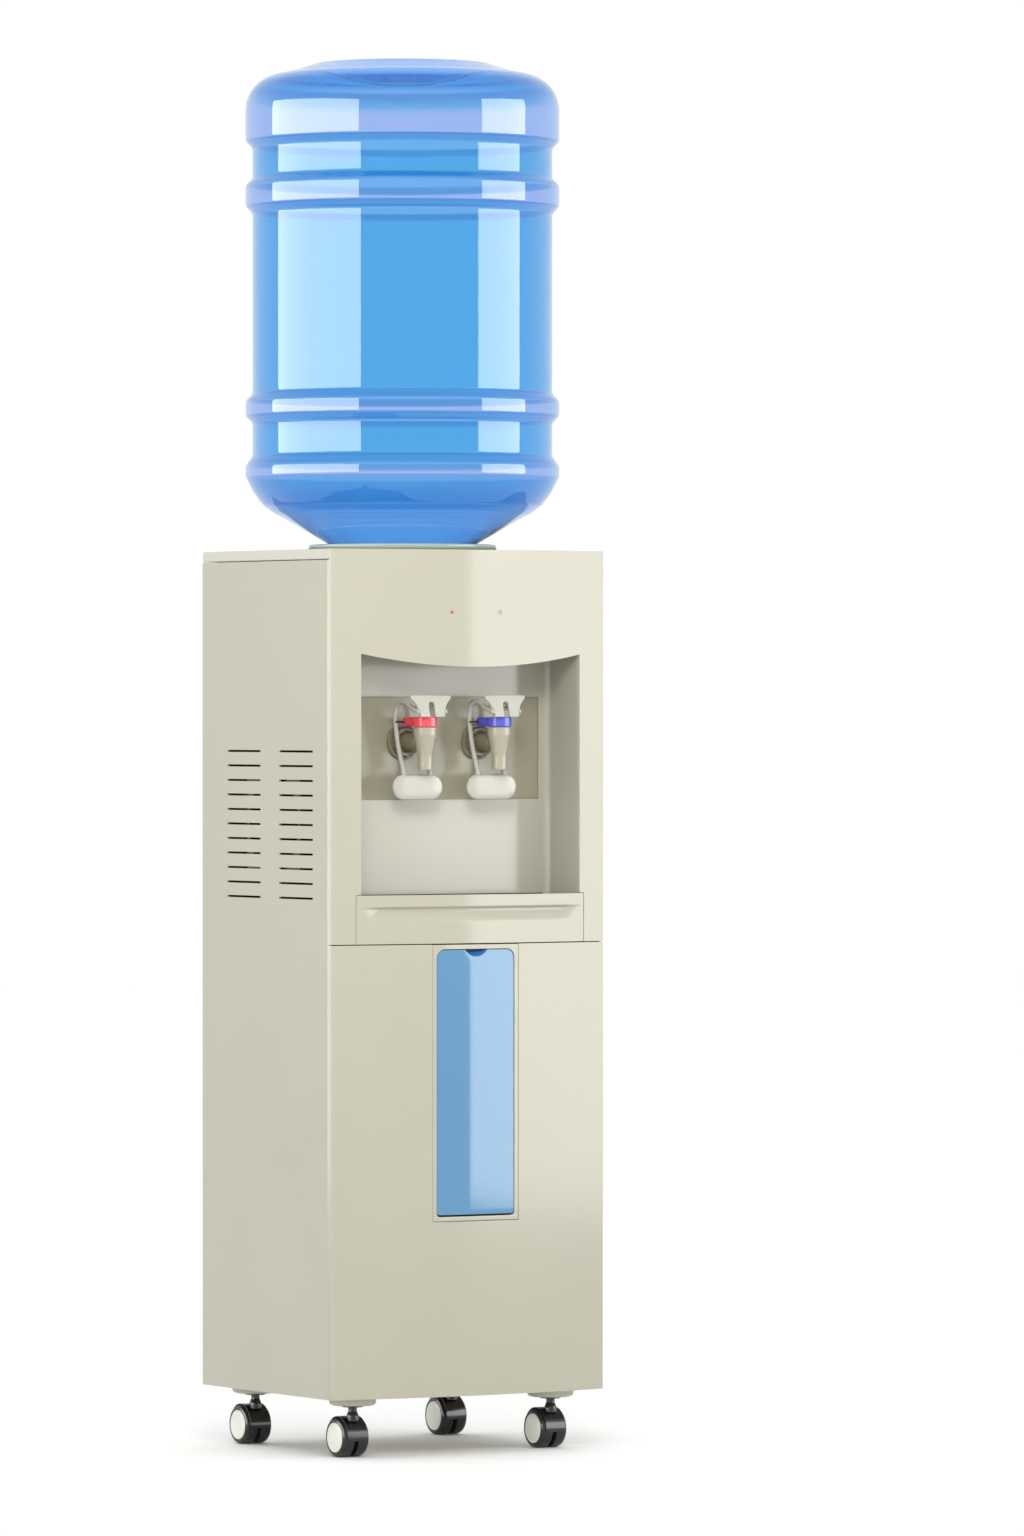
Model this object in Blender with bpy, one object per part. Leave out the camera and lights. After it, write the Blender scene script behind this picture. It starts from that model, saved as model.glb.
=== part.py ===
"""A floor-standing bottled-water dispenser on four swivel castors.

The origin is on the floor, under the axis of the bottle. +Z is up, the front faces -Y, and +X is
to the right of someone who stands in front. Sizes below are in millimetres; new_object() turns
them into metres.
"""

import math

import bmesh
import bpy
from mathutils import Matrix, Vector

MM = 0.001

# Overall sizes
WIDTH = 275.0
DEPTH = 224.0  # back face to front corners
FRONT_BOW = 14.0  # how far the middle of the front stands out from its corners
CABINET_HEIGHT = 730.0
CASTOR_HEIGHT = 52.0

# Walls and clearances
SKIN = 2.5
INNER_WALL = 2.0
GAP = 0.3  # between pieces that touch
SEAM = 0.5  # between panels, where it shows
SLIDE_GAP = 0.8  # round a piece that slides
TURN_GAP = 0.25  # round a shaft that turns

# Cabinet
COVER_SKIRT = 9.5
UPPER_HEIGHT = 340.0  # of the front above its seam, with the niche
PAN_RIM = 12.0
PAN_FLOOR = 3.0
LOUVRE_LENGTH = 58.5
LOUVRE_HEIGHT = 2.2
LOUVRE_PITCH = 12.65
LOUVRE_ROWS = 11
LOUVRE_DROP = 174.0  # the highest row below the cabinet's top
LOUVRE_COLUMNS = (-52.5, 38.5)  # y of each column's middle

# Niche, tap panel and lamps
NICHE_INSET = 27.7  # its sides from the cabinet's sides
NICHE_DEPTH = 47.4  # its back wall behind the front's corners
NICHE_DROP = 90.0  # its top corners below the cabinet's top
NICHE_SAG = 11.0
TAP_PANEL_INSET = 9.8  # its sides from the niche's sides
TAP_PANEL_HEIGHT = 89.0
TAP_PANEL_RISE = 39.0  # its top above the taps' inlets
TAP_PANEL_LAP = 4.0  # behind the niche's back wall, all round
LAMP_SPACING = 48.0
LAMP_DROP = 54.0  # below the cabinet's top
LAMP_RADIUS = 1.6
LAMP_LENGTH = 8.0

# Drip tray
TRAY_FRONT_LAP = 4.4  # its front past each side of the niche
TRAY_FRONT_HEIGHT = 42.0
TRAY_FRONT_SKIN = 5.0
TRAY_PAN_INSET = 4.8  # its pan inside each side of the niche
TRAY_RIM_DROP = 4.5  # the pan's rim below the top of the front
TRAY_PULL_DROP = 12.5  # the finger groove below the top of the front
TRAY_PULL_HEIGHT = 7.0
TRAY_PULL_DEPTH = 2.5
TRAY_PULL_END = 11.0
GRILLE_THICKNESS = 2.0
GRILLE_SLOTS = 15
GRILLE_SLOT_WIDTH = 5.0
GRILLE_BORDER = 5.0

# Cup door and its frame
DOOR_FRAME_WIDTH = 86.0
DOOR_FRAME_HEIGHT = 238.5
DOOR_FRAME_BORDER = 4.0
DOOR_FRAME_DEPTH = 6.0
DOOR_SKIN = 2.5
DOOR_SINK = 0.6  # the door's face behind the front's face
DOOR_FOOT_GAP = 1.5  # below the door, for its lower edge to swing through
DOOR_HINGE_RISE = 6.0
DOOR_HINGE_INSET = 3.2
DOOR_PIN_RADIUS = 1.5
DOOR_PIN_REACH = 2.4
NOTCH_RADIUS = 13.0
NOTCH_DROP = 6.0
BIN_SETBACK = 10.0
BIN_DEPTH = 62.0
BIN_WALL = 1.5

# Taps
TAP_SPACING = 74.6
TAP_REACH = 37.4  # the taps' axes in front of the niche's back wall
TAP_INLET_DROP = 166.0  # below the cabinet's top
TAP_INLET_RADIUS = 7.6
TAP_INLET_REACH = 9.0  # behind the tap panel
TAP_INLET_BORE = 4.0
TAP_BORE = 4.6
TAP_SPOUT_DROP = 24.0
TAP_SPOUT_RADIUS = 6.2
TAP_BODY_RADIUS = 10.2
TAP_FLANGE_RADIUS = 15.5
TAP_FLANGE_THICKNESS = 3.0
COLLAR_RING_WALL = 2.6
COLLAR_RING_HEIGHT = 8.4
COLLAR_RING_RISE = 13.2  # its underside above the inlet axis
LUG_WIDTH = 12.0
PIVOT_SETBACK = 25.0  # the lever's pin behind the tap's axis
PIVOT_RADIUS = 1.5
STEM_RADIUS = 2.5
STEM_HEAD_RADIUS = 4.2
PLUNGER_RADIUS = 4.1
LEVER_ROD_RADIUS = 1.9
LEVER_ARM_CLEARANCE = 3.0  # each arm's middle from the tap's body
PAD_WIDTH = 50.0
PAD_HEIGHT = 22.0
PAD_THICKNESS = 5.0
PAD_SETBACK = 13.5
PAD_DROP = 39.0  # its middle below the inlet axis

# Bottle and collar
BOTTLE_RADIUS = 131.2
BOTTLE_RIB_RADIUS = 137.5
BOTTLE_HEIGHT = 420.0  # above the collar
BOTTLE_SKIN = 1.4
NECK_RADIUS = 23.7
NECK_RING_REACH = 3.3
THROAT_RADIUS = 38.6  # where the neck meets the cone
NECK_DROP = 109.0  # the mouth below the collar's top
SEAT_RADIUS = 64.4  # of the bottle's cone, level with the collar's top
CONE_SLOPE = 0.577  # rise of the cone for each unit of radius
COLLAR_RADIUS = 82.0
COLLAR_RISE = 6.0
COLLAR_PLUG_RADIUS = 68.0
COLLAR_BORE = 59.0

# Water system
RESERVOIR_RADIUS = 60.0
RESERVOIR_SUMP_RADIUS = 45.0
RESERVOIR_SUMP_DEPTH = 120.0
RESERVOIR_TOP_DEPTH = 102.0
HOT_TANK_RADIUS = 45.0
HOT_TANK_HEIGHT = 150.0
HOT_TANK_X = 20.0
HOT_TANK_Y = 40.0
HOT_TANK_DROP = 67.5  # its top below the reservoir's floor
HOT_TANK_NECK = 6.0
TANK_WALL = 1.5
TUBE_RADIUS = 4.0

# Cooling and power
FAN_SIZE = 92.0
FAN_DEPTH = 25.0
FAN_Y = -7.0
FAN_DROP = 237.0  # its middle below the cabinet's top
FAN_BLADES = 7
FAN_HUB_RADIUS = 16.0
FIN_COUNT = 9
FIN_THICKNESS = 2.0
SWITCH_DROP = 142.0  # below the cabinet's top
SWITCH_X = 70.0
BEZEL_HALF_WIDTH = 28.0
BEZEL_HALF_HEIGHT = 13.0
ROCKER_WIDTH = 13.0
ROCKER_HEIGHT = 19.0
ROCKER_OFFSET = 13.0  # each rocker from the bezel's middle
ROCKER_PIN_RADIUS = 1.2
GLAND_RISE = 58.0  # above the cabinet's bottom edge
GLAND_RADIUS = 8.0
DRAIN_RISE = 108.0
DRAIN_RADIUS = 9.0
BOARD_RISE = 30.0
BOARD_THICKNESS = 2.0

# Castors
CASTOR_SIDE_INSET = 37.7  # of each castor's stem from the cabinet's side
CASTOR_END_INSET = 27.2  # and from its back or its front corners
CASTOR_TRAIL = 9.0
WHEEL_RADIUS = 17.0
WHEEL_OUTER = 12.9  # of each wheel's outer face from the middle of the pair
WHEEL_INNER = 2.0
HUB_MARGIN = 4.0  # from the hub disc to the tread
HUB_RISE = 0.5
HOOD_WIDTH = 20.0
HOOD_THICKNESS = 0.8
HOOD_CLEARANCE = 0.6
WEB_HALF = 1.2  # half the thickness of the web between the wheels
AXLE_RADIUS = 2.5
CASTOR_STEM_RADIUS = 3.75
CUP_RADIUS = 20.5
CUP_HEIGHT = 7.0

# Places worked out from the sizes above
BASE_Z = CASTOR_HEIGHT
TOP_Z = BASE_Z + CABINET_HEIGHT
SIDE_TOP_Z = TOP_Z - COVER_SKIRT
SEAM_Z = TOP_Z - UPPER_HEIGHT
COLLAR_Z = TOP_Z + COLLAR_RISE
FRONT_Y = -DEPTH / 2
BACK_Y = DEPTH / 2
BOW_RADIUS = (WIDTH**2 / 4 + FRONT_BOW**2) / (2 * FRONT_BOW)
BOW_CENTRE_Y = FRONT_Y - FRONT_BOW + BOW_RADIUS
CUT_REACH = FRONT_BOW + NICHE_DEPTH  # how far cutters reach past the front's corners
NICHE_WIDTH = WIDTH - 2 * NICHE_INSET
NICHE_BACK_Y = FRONT_Y + NICHE_DEPTH
NICHE_TOP_Z = TOP_Z - NICHE_DROP
LINER_BOTTOM_Z = SEAM_Z + SEAM
LAMP_Z = TOP_Z - LAMP_DROP
TRAY_FRONT_WIDTH = NICHE_WIDTH + 2 * TRAY_FRONT_LAP
TRAY_PAN_WIDTH = NICHE_WIDTH - 2 * TRAY_PAN_INSET
TRAY_TOP_Z = SEAM_Z + SEAM + TRAY_FRONT_HEIGHT
TRAY_RIM_Z = TRAY_TOP_Z - TRAY_RIM_DROP
TRAY_BACK_Y = NICHE_BACK_Y - 2 * SLIDE_GAP
TAP_Y = NICHE_BACK_Y - TAP_REACH
TAP_Z = TOP_Z - TAP_INLET_DROP
TAP_PANEL_WIDTH = NICHE_WIDTH - 2 * TAP_PANEL_INSET
TAP_PANEL_TOP_Z = TAP_Z + TAP_PANEL_RISE
TAP_PANEL_BOTTOM_Z = TAP_PANEL_TOP_Z - TAP_PANEL_HEIGHT
PANEL_Y = NICHE_BACK_Y + INNER_WALL + GAP
INLET_END_Y = PANEL_Y + INNER_WALL + TAP_INLET_REACH
COLLAR_RING_RADIUS = TAP_BODY_RADIUS + 0.4
COLLAR_RING_BORE = COLLAR_RING_RADIUS - COLLAR_RING_WALL
COLLAR_RING_Z = TAP_Z + COLLAR_RING_RISE
LEVER_ARM_X = TAP_BODY_RADIUS + LEVER_ARM_CLEARANCE
PIVOT_Z = COLLAR_RING_Z + COLLAR_RING_HEIGHT / 2
NECK_RING_RADIUS = NECK_RADIUS + NECK_RING_REACH
RESERVOIR_TOP_Z = SIDE_TOP_Z - 3.0
SUMP_FLOOR_Z = RESERVOIR_TOP_Z - RESERVOIR_TOP_DEPTH - RESERVOIR_SUMP_DEPTH
HOT_TANK_Z = SUMP_FLOOR_Z - HOT_TANK_DROP - HOT_TANK_HEIGHT
FAN_Z = TOP_Z - FAN_DROP
FAN_OUTER_X = -WIDTH / 2 + SKIN + 1.5
FAN_INNER_X = FAN_OUTER_X + FAN_DEPTH
SWITCH_Z = TOP_Z - SWITCH_DROP
GLAND_Z = BASE_Z + GLAND_RISE
DRAIN_Z = BASE_Z + DRAIN_RISE
CASTOR_X = WIDTH / 2 - CASTOR_SIDE_INSET
CASTOR_Y = DEPTH / 2 - CASTOR_END_INSET
STEM_BORE = CASTOR_STEM_RADIUS + 2 * TURN_GAP
WHEEL_Z = WHEEL_RADIUS
HUB_RADIUS = WHEEL_RADIUS - HUB_MARGIN
HOOD_RADIUS = WHEEL_RADIUS + HOOD_CLEARANCE + HOOD_THICKNESS

MATERIALS = {}


# ---------------------------------------------------------------- helpers


def clear_scene():
    for obj in list(bpy.data.objects):
        bpy.data.objects.remove(obj)


def material(name, colour, roughness, metallic=0.0, alpha=1.0):
    if name not in MATERIALS:
        made = bpy.data.materials.new(name)
        made.use_nodes = True
        shader = made.node_tree.nodes["Principled BSDF"]
        shader.inputs["Base Color"].default_value = (*colour, 1.0)
        shader.inputs["Roughness"].default_value = roughness
        shader.inputs["Metallic"].default_value = metallic
        shader.inputs["Alpha"].default_value = alpha
        MATERIALS[name] = made
    return MATERIALS[name]


def ivory():
    return material("ivory_plastic", (0.72, 0.69, 0.59), 0.38)


def ivory_metal():
    return material("ivory_metal", (0.66, 0.63, 0.52), 0.42)


def niche_beige():
    return material("niche_beige", (0.55, 0.53, 0.43), 0.4)


def panel_beige():
    return material("panel_beige", (0.38, 0.37, 0.29), 0.45)


def white():
    return material("white_plastic", (0.86, 0.85, 0.79), 0.35)


def black():
    return material("black_plastic", (0.015, 0.015, 0.015), 0.25)


def dark_steel():
    return material("dark_steel", (0.08, 0.09, 0.09), 0.35, 0.8)


def steel():
    return material("steel", (0.6, 0.6, 0.6), 0.3, 1.0)


def red():
    return material("red_plastic", (0.75, 0.03, 0.06), 0.3)


def blue():
    return material("blue_plastic", (0.05, 0.08, 0.6), 0.3)


def bottle_blue():
    return material("bottle_blue", (0.1, 0.35, 0.85), 0.08, 0.0, 0.5)


def silicone():
    return material("silicone", (0.75, 0.77, 0.76), 0.5, 0.0, 0.8)


def board_green():
    return material("board_green", (0.03, 0.2, 0.08), 0.5)


def green():
    return material("green_plastic", (0.03, 0.25, 0.1), 0.3)


def aluminium():
    return material("aluminium", (0.7, 0.7, 0.72), 0.35, 1.0)


def new_object(name, shape, surface, origin=(0.0, 0.0, 0.0)):
    """Makes an object of a bmesh in millimetres, with its origin at the given point."""
    bmesh.ops.recalc_face_normals(shape, faces=shape.faces)
    bmesh.ops.translate(shape, vec=-Vector(origin), verts=shape.verts)
    bmesh.ops.scale(shape, vec=(MM, MM, MM), verts=shape.verts)
    mesh = bpy.data.meshes.new(name)
    shape.to_mesh(mesh)
    shape.free()
    mesh.materials.append(surface)
    mesh.shade_smooth()
    mesh.set_sharp_from_angle(angle=math.radians(35))
    obj = bpy.data.objects.new(name, mesh)
    obj.location = Vector(origin) * MM
    bpy.context.scene.collection.objects.link(obj)
    return obj


def boolean(obj, shape, operation, solver="EXACT"):
    number = len(obj.modifiers) + 1
    helper = new_object(f"{obj.name}.{operation.lower()}.{number}", shape, obj.data.materials[0])
    helper.hide_render = True
    helper.display_type = "WIRE"
    modifier = obj.modifiers.new(operation.title(), "BOOLEAN")
    modifier.operation = operation
    modifier.solver = solver
    modifier.object = helper


def cut(obj, shape, solver="EXACT"):
    boolean(obj, shape, "DIFFERENCE", solver)


def join(obj, shape, solver="EXACT"):
    boolean(obj, shape, "UNION", solver)


def prism(outline, low, high, along="Z"):
    """A closed outline pushed from low to high. Along X it is (y, z), along Y (x, z), along Z (x, y)."""
    shape = bmesh.new()
    build = {
        "X": lambda a, b: (low, a, b),
        "Y": lambda a, b: (a, low, b),
        "Z": lambda a, b: (a, b, low),
    }[along]
    face = shape.faces.new([shape.verts.new(build(a, b)) for a, b in outline])
    step = {"X": (high - low, 0, 0), "Y": (0, high - low, 0), "Z": (0, 0, high - low)}[along]
    moved = bmesh.ops.extrude_face_region(shape, geom=[face], use_keep_orig=True)["geom"]
    verts = [item for item in moved if isinstance(item, bmesh.types.BMVert)]
    bmesh.ops.translate(shape, vec=step, verts=verts)
    bmesh.ops.recalc_face_normals(shape, faces=shape.faces)
    return shape


def block(low, high):
    outline = [(low[0], low[1]), (high[0], low[1]), (high[0], high[1]), (low[0], high[1])]
    return prism(outline, low[2], high[2])


def merged(*shapes):
    """Puts separate closed shapes in one bmesh, for a cutter with many teeth."""
    whole = bmesh.new()
    for shape in shapes:
        part = bpy.data.meshes.new("part")
        shape.to_mesh(part)
        whole.from_mesh(part)
        bpy.data.meshes.remove(part)
        shape.free()
    return whole


def turned(profile, steps=24, centre=(0.0, 0.0, 0.0), along="Z", half_step=False):
    """Spins a closed profile of (radius, height) points about an axis through centre."""
    shape = bmesh.new()
    verts = [shape.verts.new((radius, 0, height)) for radius, height in profile]
    pairs = list(zip(verts, verts[1:]))
    if profile[0][0] > 0 or profile[-1][0] > 0:
        pairs.append((verts[-1], verts[0]))
    edges = [shape.edges.new(pair) for pair in pairs]
    bmesh.ops.spin(
        shape, geom=edges, cent=(0, 0, 0), axis=(0, 0, 1), angle=math.tau, steps=steps, use_merge=True
    )
    bmesh.ops.remove_doubles(shape, verts=shape.verts, dist=1e-3)
    if half_step:
        turn = Matrix.Rotation(math.pi / steps, 4, "Z")
        bmesh.ops.transform(shape, matrix=turn, verts=shape.verts)
    if along == "X":
        bmesh.ops.transform(shape, matrix=Matrix.Rotation(math.pi / 2, 4, "Y"), verts=shape.verts)
    if along == "Y":
        bmesh.ops.transform(shape, matrix=Matrix.Rotation(-math.pi / 2, 4, "X"), verts=shape.verts)
    bmesh.ops.translate(shape, vec=centre, verts=shape.verts)
    bmesh.ops.recalc_face_normals(shape, faces=shape.faces)
    return shape


def rod(radius, low, high, centre, along="Z", steps=16):
    """A plain cylinder from low to high along its axis; centre gives the other two places."""
    start = {"X": (0, *centre), "Y": (centre[0], 0, centre[1]), "Z": (*centre, 0)}[along]
    return turned([(0, low), (radius, low), (radius, high), (0, high)], steps, start, along)


def arc(centre, radius, start, end, count):
    """Points on an arc, in degrees."""
    turns = [math.radians(start + (end - start) * i / count) for i in range(count + 1)]
    return [(centre[0] + radius * math.cos(t), centre[1] + radius * math.sin(t)) for t in turns]


def front_y(x, inset=0.0):
    """The front's curved face at x, or a curve that far behind it."""
    return BOW_CENTRE_Y - math.sqrt((BOW_RADIUS - inset) ** 2 - x**2)


def front_curve(left, right, inset, count=16):
    xs = [left + (right - left) * i / count for i in range(count + 1)]
    return [(x, front_y(x, inset)) for x in xs]


def front_band(half_width, outer_inset, inner_inset, low, high, count=16):
    """A strip that follows the bowed front."""
    near = front_curve(-half_width, half_width, outer_inset, count)
    far = front_curve(half_width, -half_width, inner_inset, count)
    return prism(near + far, low, high)


def plan_block(half_width, inset, back, low, high):
    """A block whose front follows the bowed front, that far behind it."""
    near = front_curve(-half_width, half_width, inset)
    return prism([*near, (half_width, back), (-half_width, back)], low, high)


def smooth_path(points, pieces=4):
    """A Catmull-Rom curve through the points."""
    ends = [points[0] * 2 - points[1], *points, points[-1] * 2 - points[-2]]
    path = []
    for a, b, c, d in zip(ends, ends[1:], ends[2:], ends[3:]):
        for i in range(pieces):
            t = i / pieces
            square = (2 * a - 5 * b + 4 * c - d) * t**2
            cube = (3 * b - a - 3 * c + d) * t**3
            path.append(0.5 * (2 * b + (c - a) * t + square + cube))
    return [*path, points[-1]]


def swept(points, radius, sides=8, pieces=4):
    """A round rod along a smooth path, as a bmesh."""
    path = smooth_path([Vector(point) for point in points], pieces)
    shape = bmesh.new()
    rings = []
    side = None
    for i, point in enumerate(path):
        ahead = (path[min(i + 1, len(path) - 1)] - path[max(i - 1, 0)]).normalized()
        if side is None:
            side = ahead.orthogonal().normalized()
        side = (side - ahead * side.dot(ahead)).normalized()
        up = ahead.cross(side)
        turns = [math.tau * j / sides for j in range(sides)]
        ring = [point + radius * (side * math.cos(t) + up * math.sin(t)) for t in turns]
        rings.append([shape.verts.new(place) for place in ring])
    for near, far in zip(rings, rings[1:]):
        for j in range(sides):
            k = (j + 1) % sides
            shape.faces.new((near[j], near[k], far[k], far[j]))
    shape.faces.new(rings[0][::-1])
    shape.faces.new(rings[-1])
    bmesh.ops.recalc_face_normals(shape, faces=shape.faces)
    return shape


# ---------------------------------------------------------------- cabinet


def louvre_cutter(low_x, high_x):
    slots = []
    for middle in LOUVRE_COLUMNS:
        for row in range(LOUVRE_ROWS):
            z = TOP_Z - LOUVRE_DROP - row * LOUVRE_PITCH
            low = (low_x, middle - LOUVRE_LENGTH / 2, z - LOUVRE_HEIGHT / 2)
            high = (high_x, middle + LOUVRE_LENGTH / 2, z + LOUVRE_HEIGHT / 2)
            slots.append(block(low, high))
    return merged(*slots)


def make_side_panels():
    front = FRONT_Y + SKIN + SEAM
    for name, side in (("side_panel_left", -1), ("side_panel_right", 1)):
        near, far = sorted((side * WIDTH / 2, side * (WIDTH / 2 - SKIN)))
        panel = new_object(name, block((near, front, BASE_Z), (far, BACK_Y, SIDE_TOP_Z)), ivory_metal())
        cut(panel, louvre_cutter(near - 1, far + 1))


def make_base_pan():
    half = WIDTH / 2 - SKIN - GAP
    rim_z = BASE_Z + PAN_RIM
    pan = new_object(
        "base_pan",
        plan_block(half, SKIN + GAP, BACK_Y - SKIN - GAP, BASE_Z, rim_z),
        ivory_metal(),
    )
    inset = SKIN + GAP + INNER_WALL
    cut(pan, plan_block(half - INNER_WALL, inset, BACK_Y - inset, BASE_Z + PAN_FLOOR, rim_z + 1))
    holes = [
        rod(STEM_BORE, BASE_Z - 1, rim_z + 1, (x * CASTOR_X, y * CASTOR_Y))
        for x in (-1, 1)
        for y in (-1, 1)
    ]
    cut(pan, merged(*holes))


def make_back_panel():
    half = WIDTH / 2 - SKIN - GAP
    low = (-half, BACK_Y - SKIN, BASE_Z)
    panel = new_object("back_panel", block(low, (half, BACK_Y, SIDE_TOP_Z - GAP)), ivory_metal())
    near, far = BACK_Y - SKIN - 1, BACK_Y + 1
    reach_x, reach_z = BEZEL_HALF_WIDTH + GAP, BEZEL_HALF_HEIGHT + GAP
    low = (SWITCH_X - reach_x, near, SWITCH_Z - reach_z)
    cut(panel, block(low, (SWITCH_X + reach_x, far, SWITCH_Z + reach_z)))
    cut(panel, rod(GLAND_RADIUS + GAP, near, far, (SWITCH_X, GLAND_Z), "Y"))
    cut(panel, rod(DRAIN_RADIUS + GAP, near, far, (-SWITCH_X, DRAIN_Z), "Y"))


def make_top_cover():
    half = WIDTH / 2
    cover = new_object(
        "top_cover",
        plan_block(half, SKIN + GAP, BACK_Y, SIDE_TOP_Z + SEAM, TOP_Z),
        ivory(),
    )
    inset = 2 * SKIN + GAP
    cut(cover, plan_block(half - SKIN, inset, BACK_Y - SKIN, SIDE_TOP_Z - 1, TOP_Z - SKIN))
    cut(cover, rod(COLLAR_PLUG_RADIUS + GAP, TOP_Z - 20, TOP_Z + 20, (0, 0), steps=36))


def make_bottle_collar():
    seat = SEAT_RADIUS + 2 * GAP
    drop = (seat - COLLAR_BORE) * CONE_SLOPE
    bottom = RESERVOIR_TOP_Z + GAP
    profile = [
        (COLLAR_RADIUS, TOP_Z + GAP),
        (COLLAR_RADIUS, COLLAR_Z - 1.4),
        (COLLAR_RADIUS - 1.4, COLLAR_Z),
        (seat, COLLAR_Z),
        (COLLAR_BORE, COLLAR_Z - drop),
        (COLLAR_BORE, bottom),
        (COLLAR_PLUG_RADIUS, bottom),
        (COLLAR_PLUG_RADIUS, TOP_Z + GAP),
    ]
    new_object("bottle_collar", turned(profile, 36), niche_beige())


def niche_outline():
    """The opening in the fascia: the tray's slot below, the niche with its sagging top above."""
    slot = TRAY_FRONT_WIDTH / 2 + SEAM
    half = NICHE_WIDTH / 2
    step = TRAY_TOP_Z + SEAM
    radius = (half**2 + NICHE_SAG**2) / (2 * NICHE_SAG)
    top = [
        (x, NICHE_TOP_Z - NICHE_SAG + radius - math.sqrt(radius**2 - x**2))
        for x in (half - NICHE_WIDTH * i / 12 for i in range(13))
    ]
    foot = SEAM_Z - 5
    return [(-slot, foot), (slot, foot), (slot, step), (half, step), *top, (-half, step), (-slot, step)]


def make_front_fascia():
    fascia = new_object(
        "front_fascia",
        front_band(WIDTH / 2, 0, SKIN, SEAM_Z + SEAM, TOP_Z, 20),
        ivory(),
    )
    cut(fascia, prism(niche_outline(), FRONT_Y - CUT_REACH, FRONT_Y + CUT_REACH, "Y"))
    lamps = [
        rod(LAMP_RADIUS + GAP / 2, FRONT_Y - CUT_REACH, FRONT_Y + CUT_REACH, (x, LAMP_Z), "Y", 10)
        for x in (-LAMP_SPACING / 2, LAMP_SPACING / 2)
    ]
    cut(fascia, merged(*lamps))


def make_lamps():
    for name, side, surface in (("lamp_hot", -1, red()), ("lamp_cold", 1, blue())):
        x = side * LAMP_SPACING / 2
        face = front_y(x)
        profile = [(0, face - 0.8), (LAMP_RADIUS * 0.7, face - 0.5), (LAMP_RADIUS, face + 0.3)]
        profile += [(LAMP_RADIUS, face + LAMP_LENGTH), (0, face + LAMP_LENGTH)]
        new_object(name, turned(profile, 10, (x, 0, LAMP_Z), "Y"), surface)


def make_niche_liner():
    half = NICHE_WIDTH / 2
    outer = plan_block(
        half + INNER_WALL, SKIN + GAP, NICHE_BACK_Y + INNER_WALL, LINER_BOTTOM_Z, NICHE_TOP_Z + INNER_WALL + 2
    )
    liner = new_object("niche_liner", outer, niche_beige())
    low = (-half, FRONT_Y - CUT_REACH, LINER_BOTTOM_Z + INNER_WALL)
    cut(liner, block(low, (half, NICHE_BACK_Y, NICHE_TOP_Z + 2)))
    reach = half + 2 * TRAY_FRONT_LAP
    tray_space = front_band(reach, -5, TRAY_FRONT_SKIN + SLIDE_GAP, LINER_BOTTOM_Z - 1, TRAY_TOP_Z + SEAM)
    cut(liner, tray_space)
    half = TAP_PANEL_WIDTH / 2
    low = (-half, NICHE_BACK_Y - 5, TAP_PANEL_BOTTOM_Z)
    cut(liner, block(low, (half, NICHE_BACK_Y + 10, TAP_PANEL_TOP_Z)))


def make_tap_panel():
    half = TAP_PANEL_WIDTH / 2 + TAP_PANEL_LAP
    low = (-half, PANEL_Y, TAP_PANEL_BOTTOM_Z - TAP_PANEL_LAP)
    high = (half, PANEL_Y + INNER_WALL, TAP_PANEL_TOP_Z + TAP_PANEL_LAP)
    panel = new_object("tap_panel", block(low, high), panel_beige())
    holes = [
        rod(TAP_INLET_RADIUS + GAP, PANEL_Y - 5, PANEL_Y + 10, (side * TAP_SPACING / 2, TAP_Z), "Y")
        for side in (-1, 1)
    ]
    cut(panel, merged(*holes))


def make_drip_tray():
    half = TRAY_FRONT_WIDTH / 2
    bottom = SEAM_Z + SEAM
    tray = new_object(
        "drip_tray", front_band(half, 0, TRAY_FRONT_SKIN, bottom, TRAY_TOP_Z), ivory()
    )
    pull_top = TRAY_TOP_Z - TRAY_PULL_DROP
    reach = half - TRAY_PULL_END
    cut(tray, front_band(reach, -5, TRAY_PULL_DEPTH, pull_top - TRAY_PULL_HEIGHT, pull_top))
    half = TRAY_PAN_WIDTH / 2
    floor = LINER_BOTTOM_Z + INNER_WALL + GAP
    join(tray, plan_block(half, TRAY_FRONT_SKIN - 1, TRAY_BACK_Y, floor, TRAY_RIM_Z))
    wall = TRAY_FRONT_SKIN + 0.5
    floor += INNER_WALL
    cut(tray, plan_block(half - INNER_WALL, wall, TRAY_BACK_Y - INNER_WALL, floor, TRAY_TOP_Z + 1))


def make_drip_grille():
    half = TRAY_PAN_WIDTH / 2 - 0.5
    low = TRAY_RIM_Z + GAP
    front = TRAY_FRONT_SKIN + SLIDE_GAP
    grille = new_object(
        "drip_grille", plan_block(half, front, TRAY_BACK_Y, low, low + GRILLE_THICKNESS), niche_beige()
    )
    pitch = (2 * half - 3 * GRILLE_BORDER) / GRILLE_SLOTS
    slots = []
    for i in range(GRILLE_SLOTS):
        x = (i - (GRILLE_SLOTS - 1) / 2) * pitch
        near = front_y(half, front) + GRILLE_BORDER
        far = TRAY_BACK_Y - GRILLE_BORDER
        corner = (x - GRILLE_SLOT_WIDTH / 2, near, low - 1)
        slots.append(block(corner, (x + GRILLE_SLOT_WIDTH / 2, far, low + GRILLE_THICKNESS + 1)))
    cut(grille, merged(*slots))


# ---------------------------------------------------------------- lower front and cup door


def door_levels():
    """Bottom and top of the opening in the door's frame."""
    bottom = SEAM_Z - SEAM - DOOR_FRAME_HEIGHT + DOOR_FRAME_BORDER
    return bottom, SEAM_Z - SEAM - DOOR_FRAME_BORDER


def hinge_place():
    x = DOOR_FRAME_WIDTH / 2 - DOOR_FRAME_BORDER
    return front_y(x, DOOR_HINGE_INSET), door_levels()[0] + DOOR_HINGE_RISE


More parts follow.
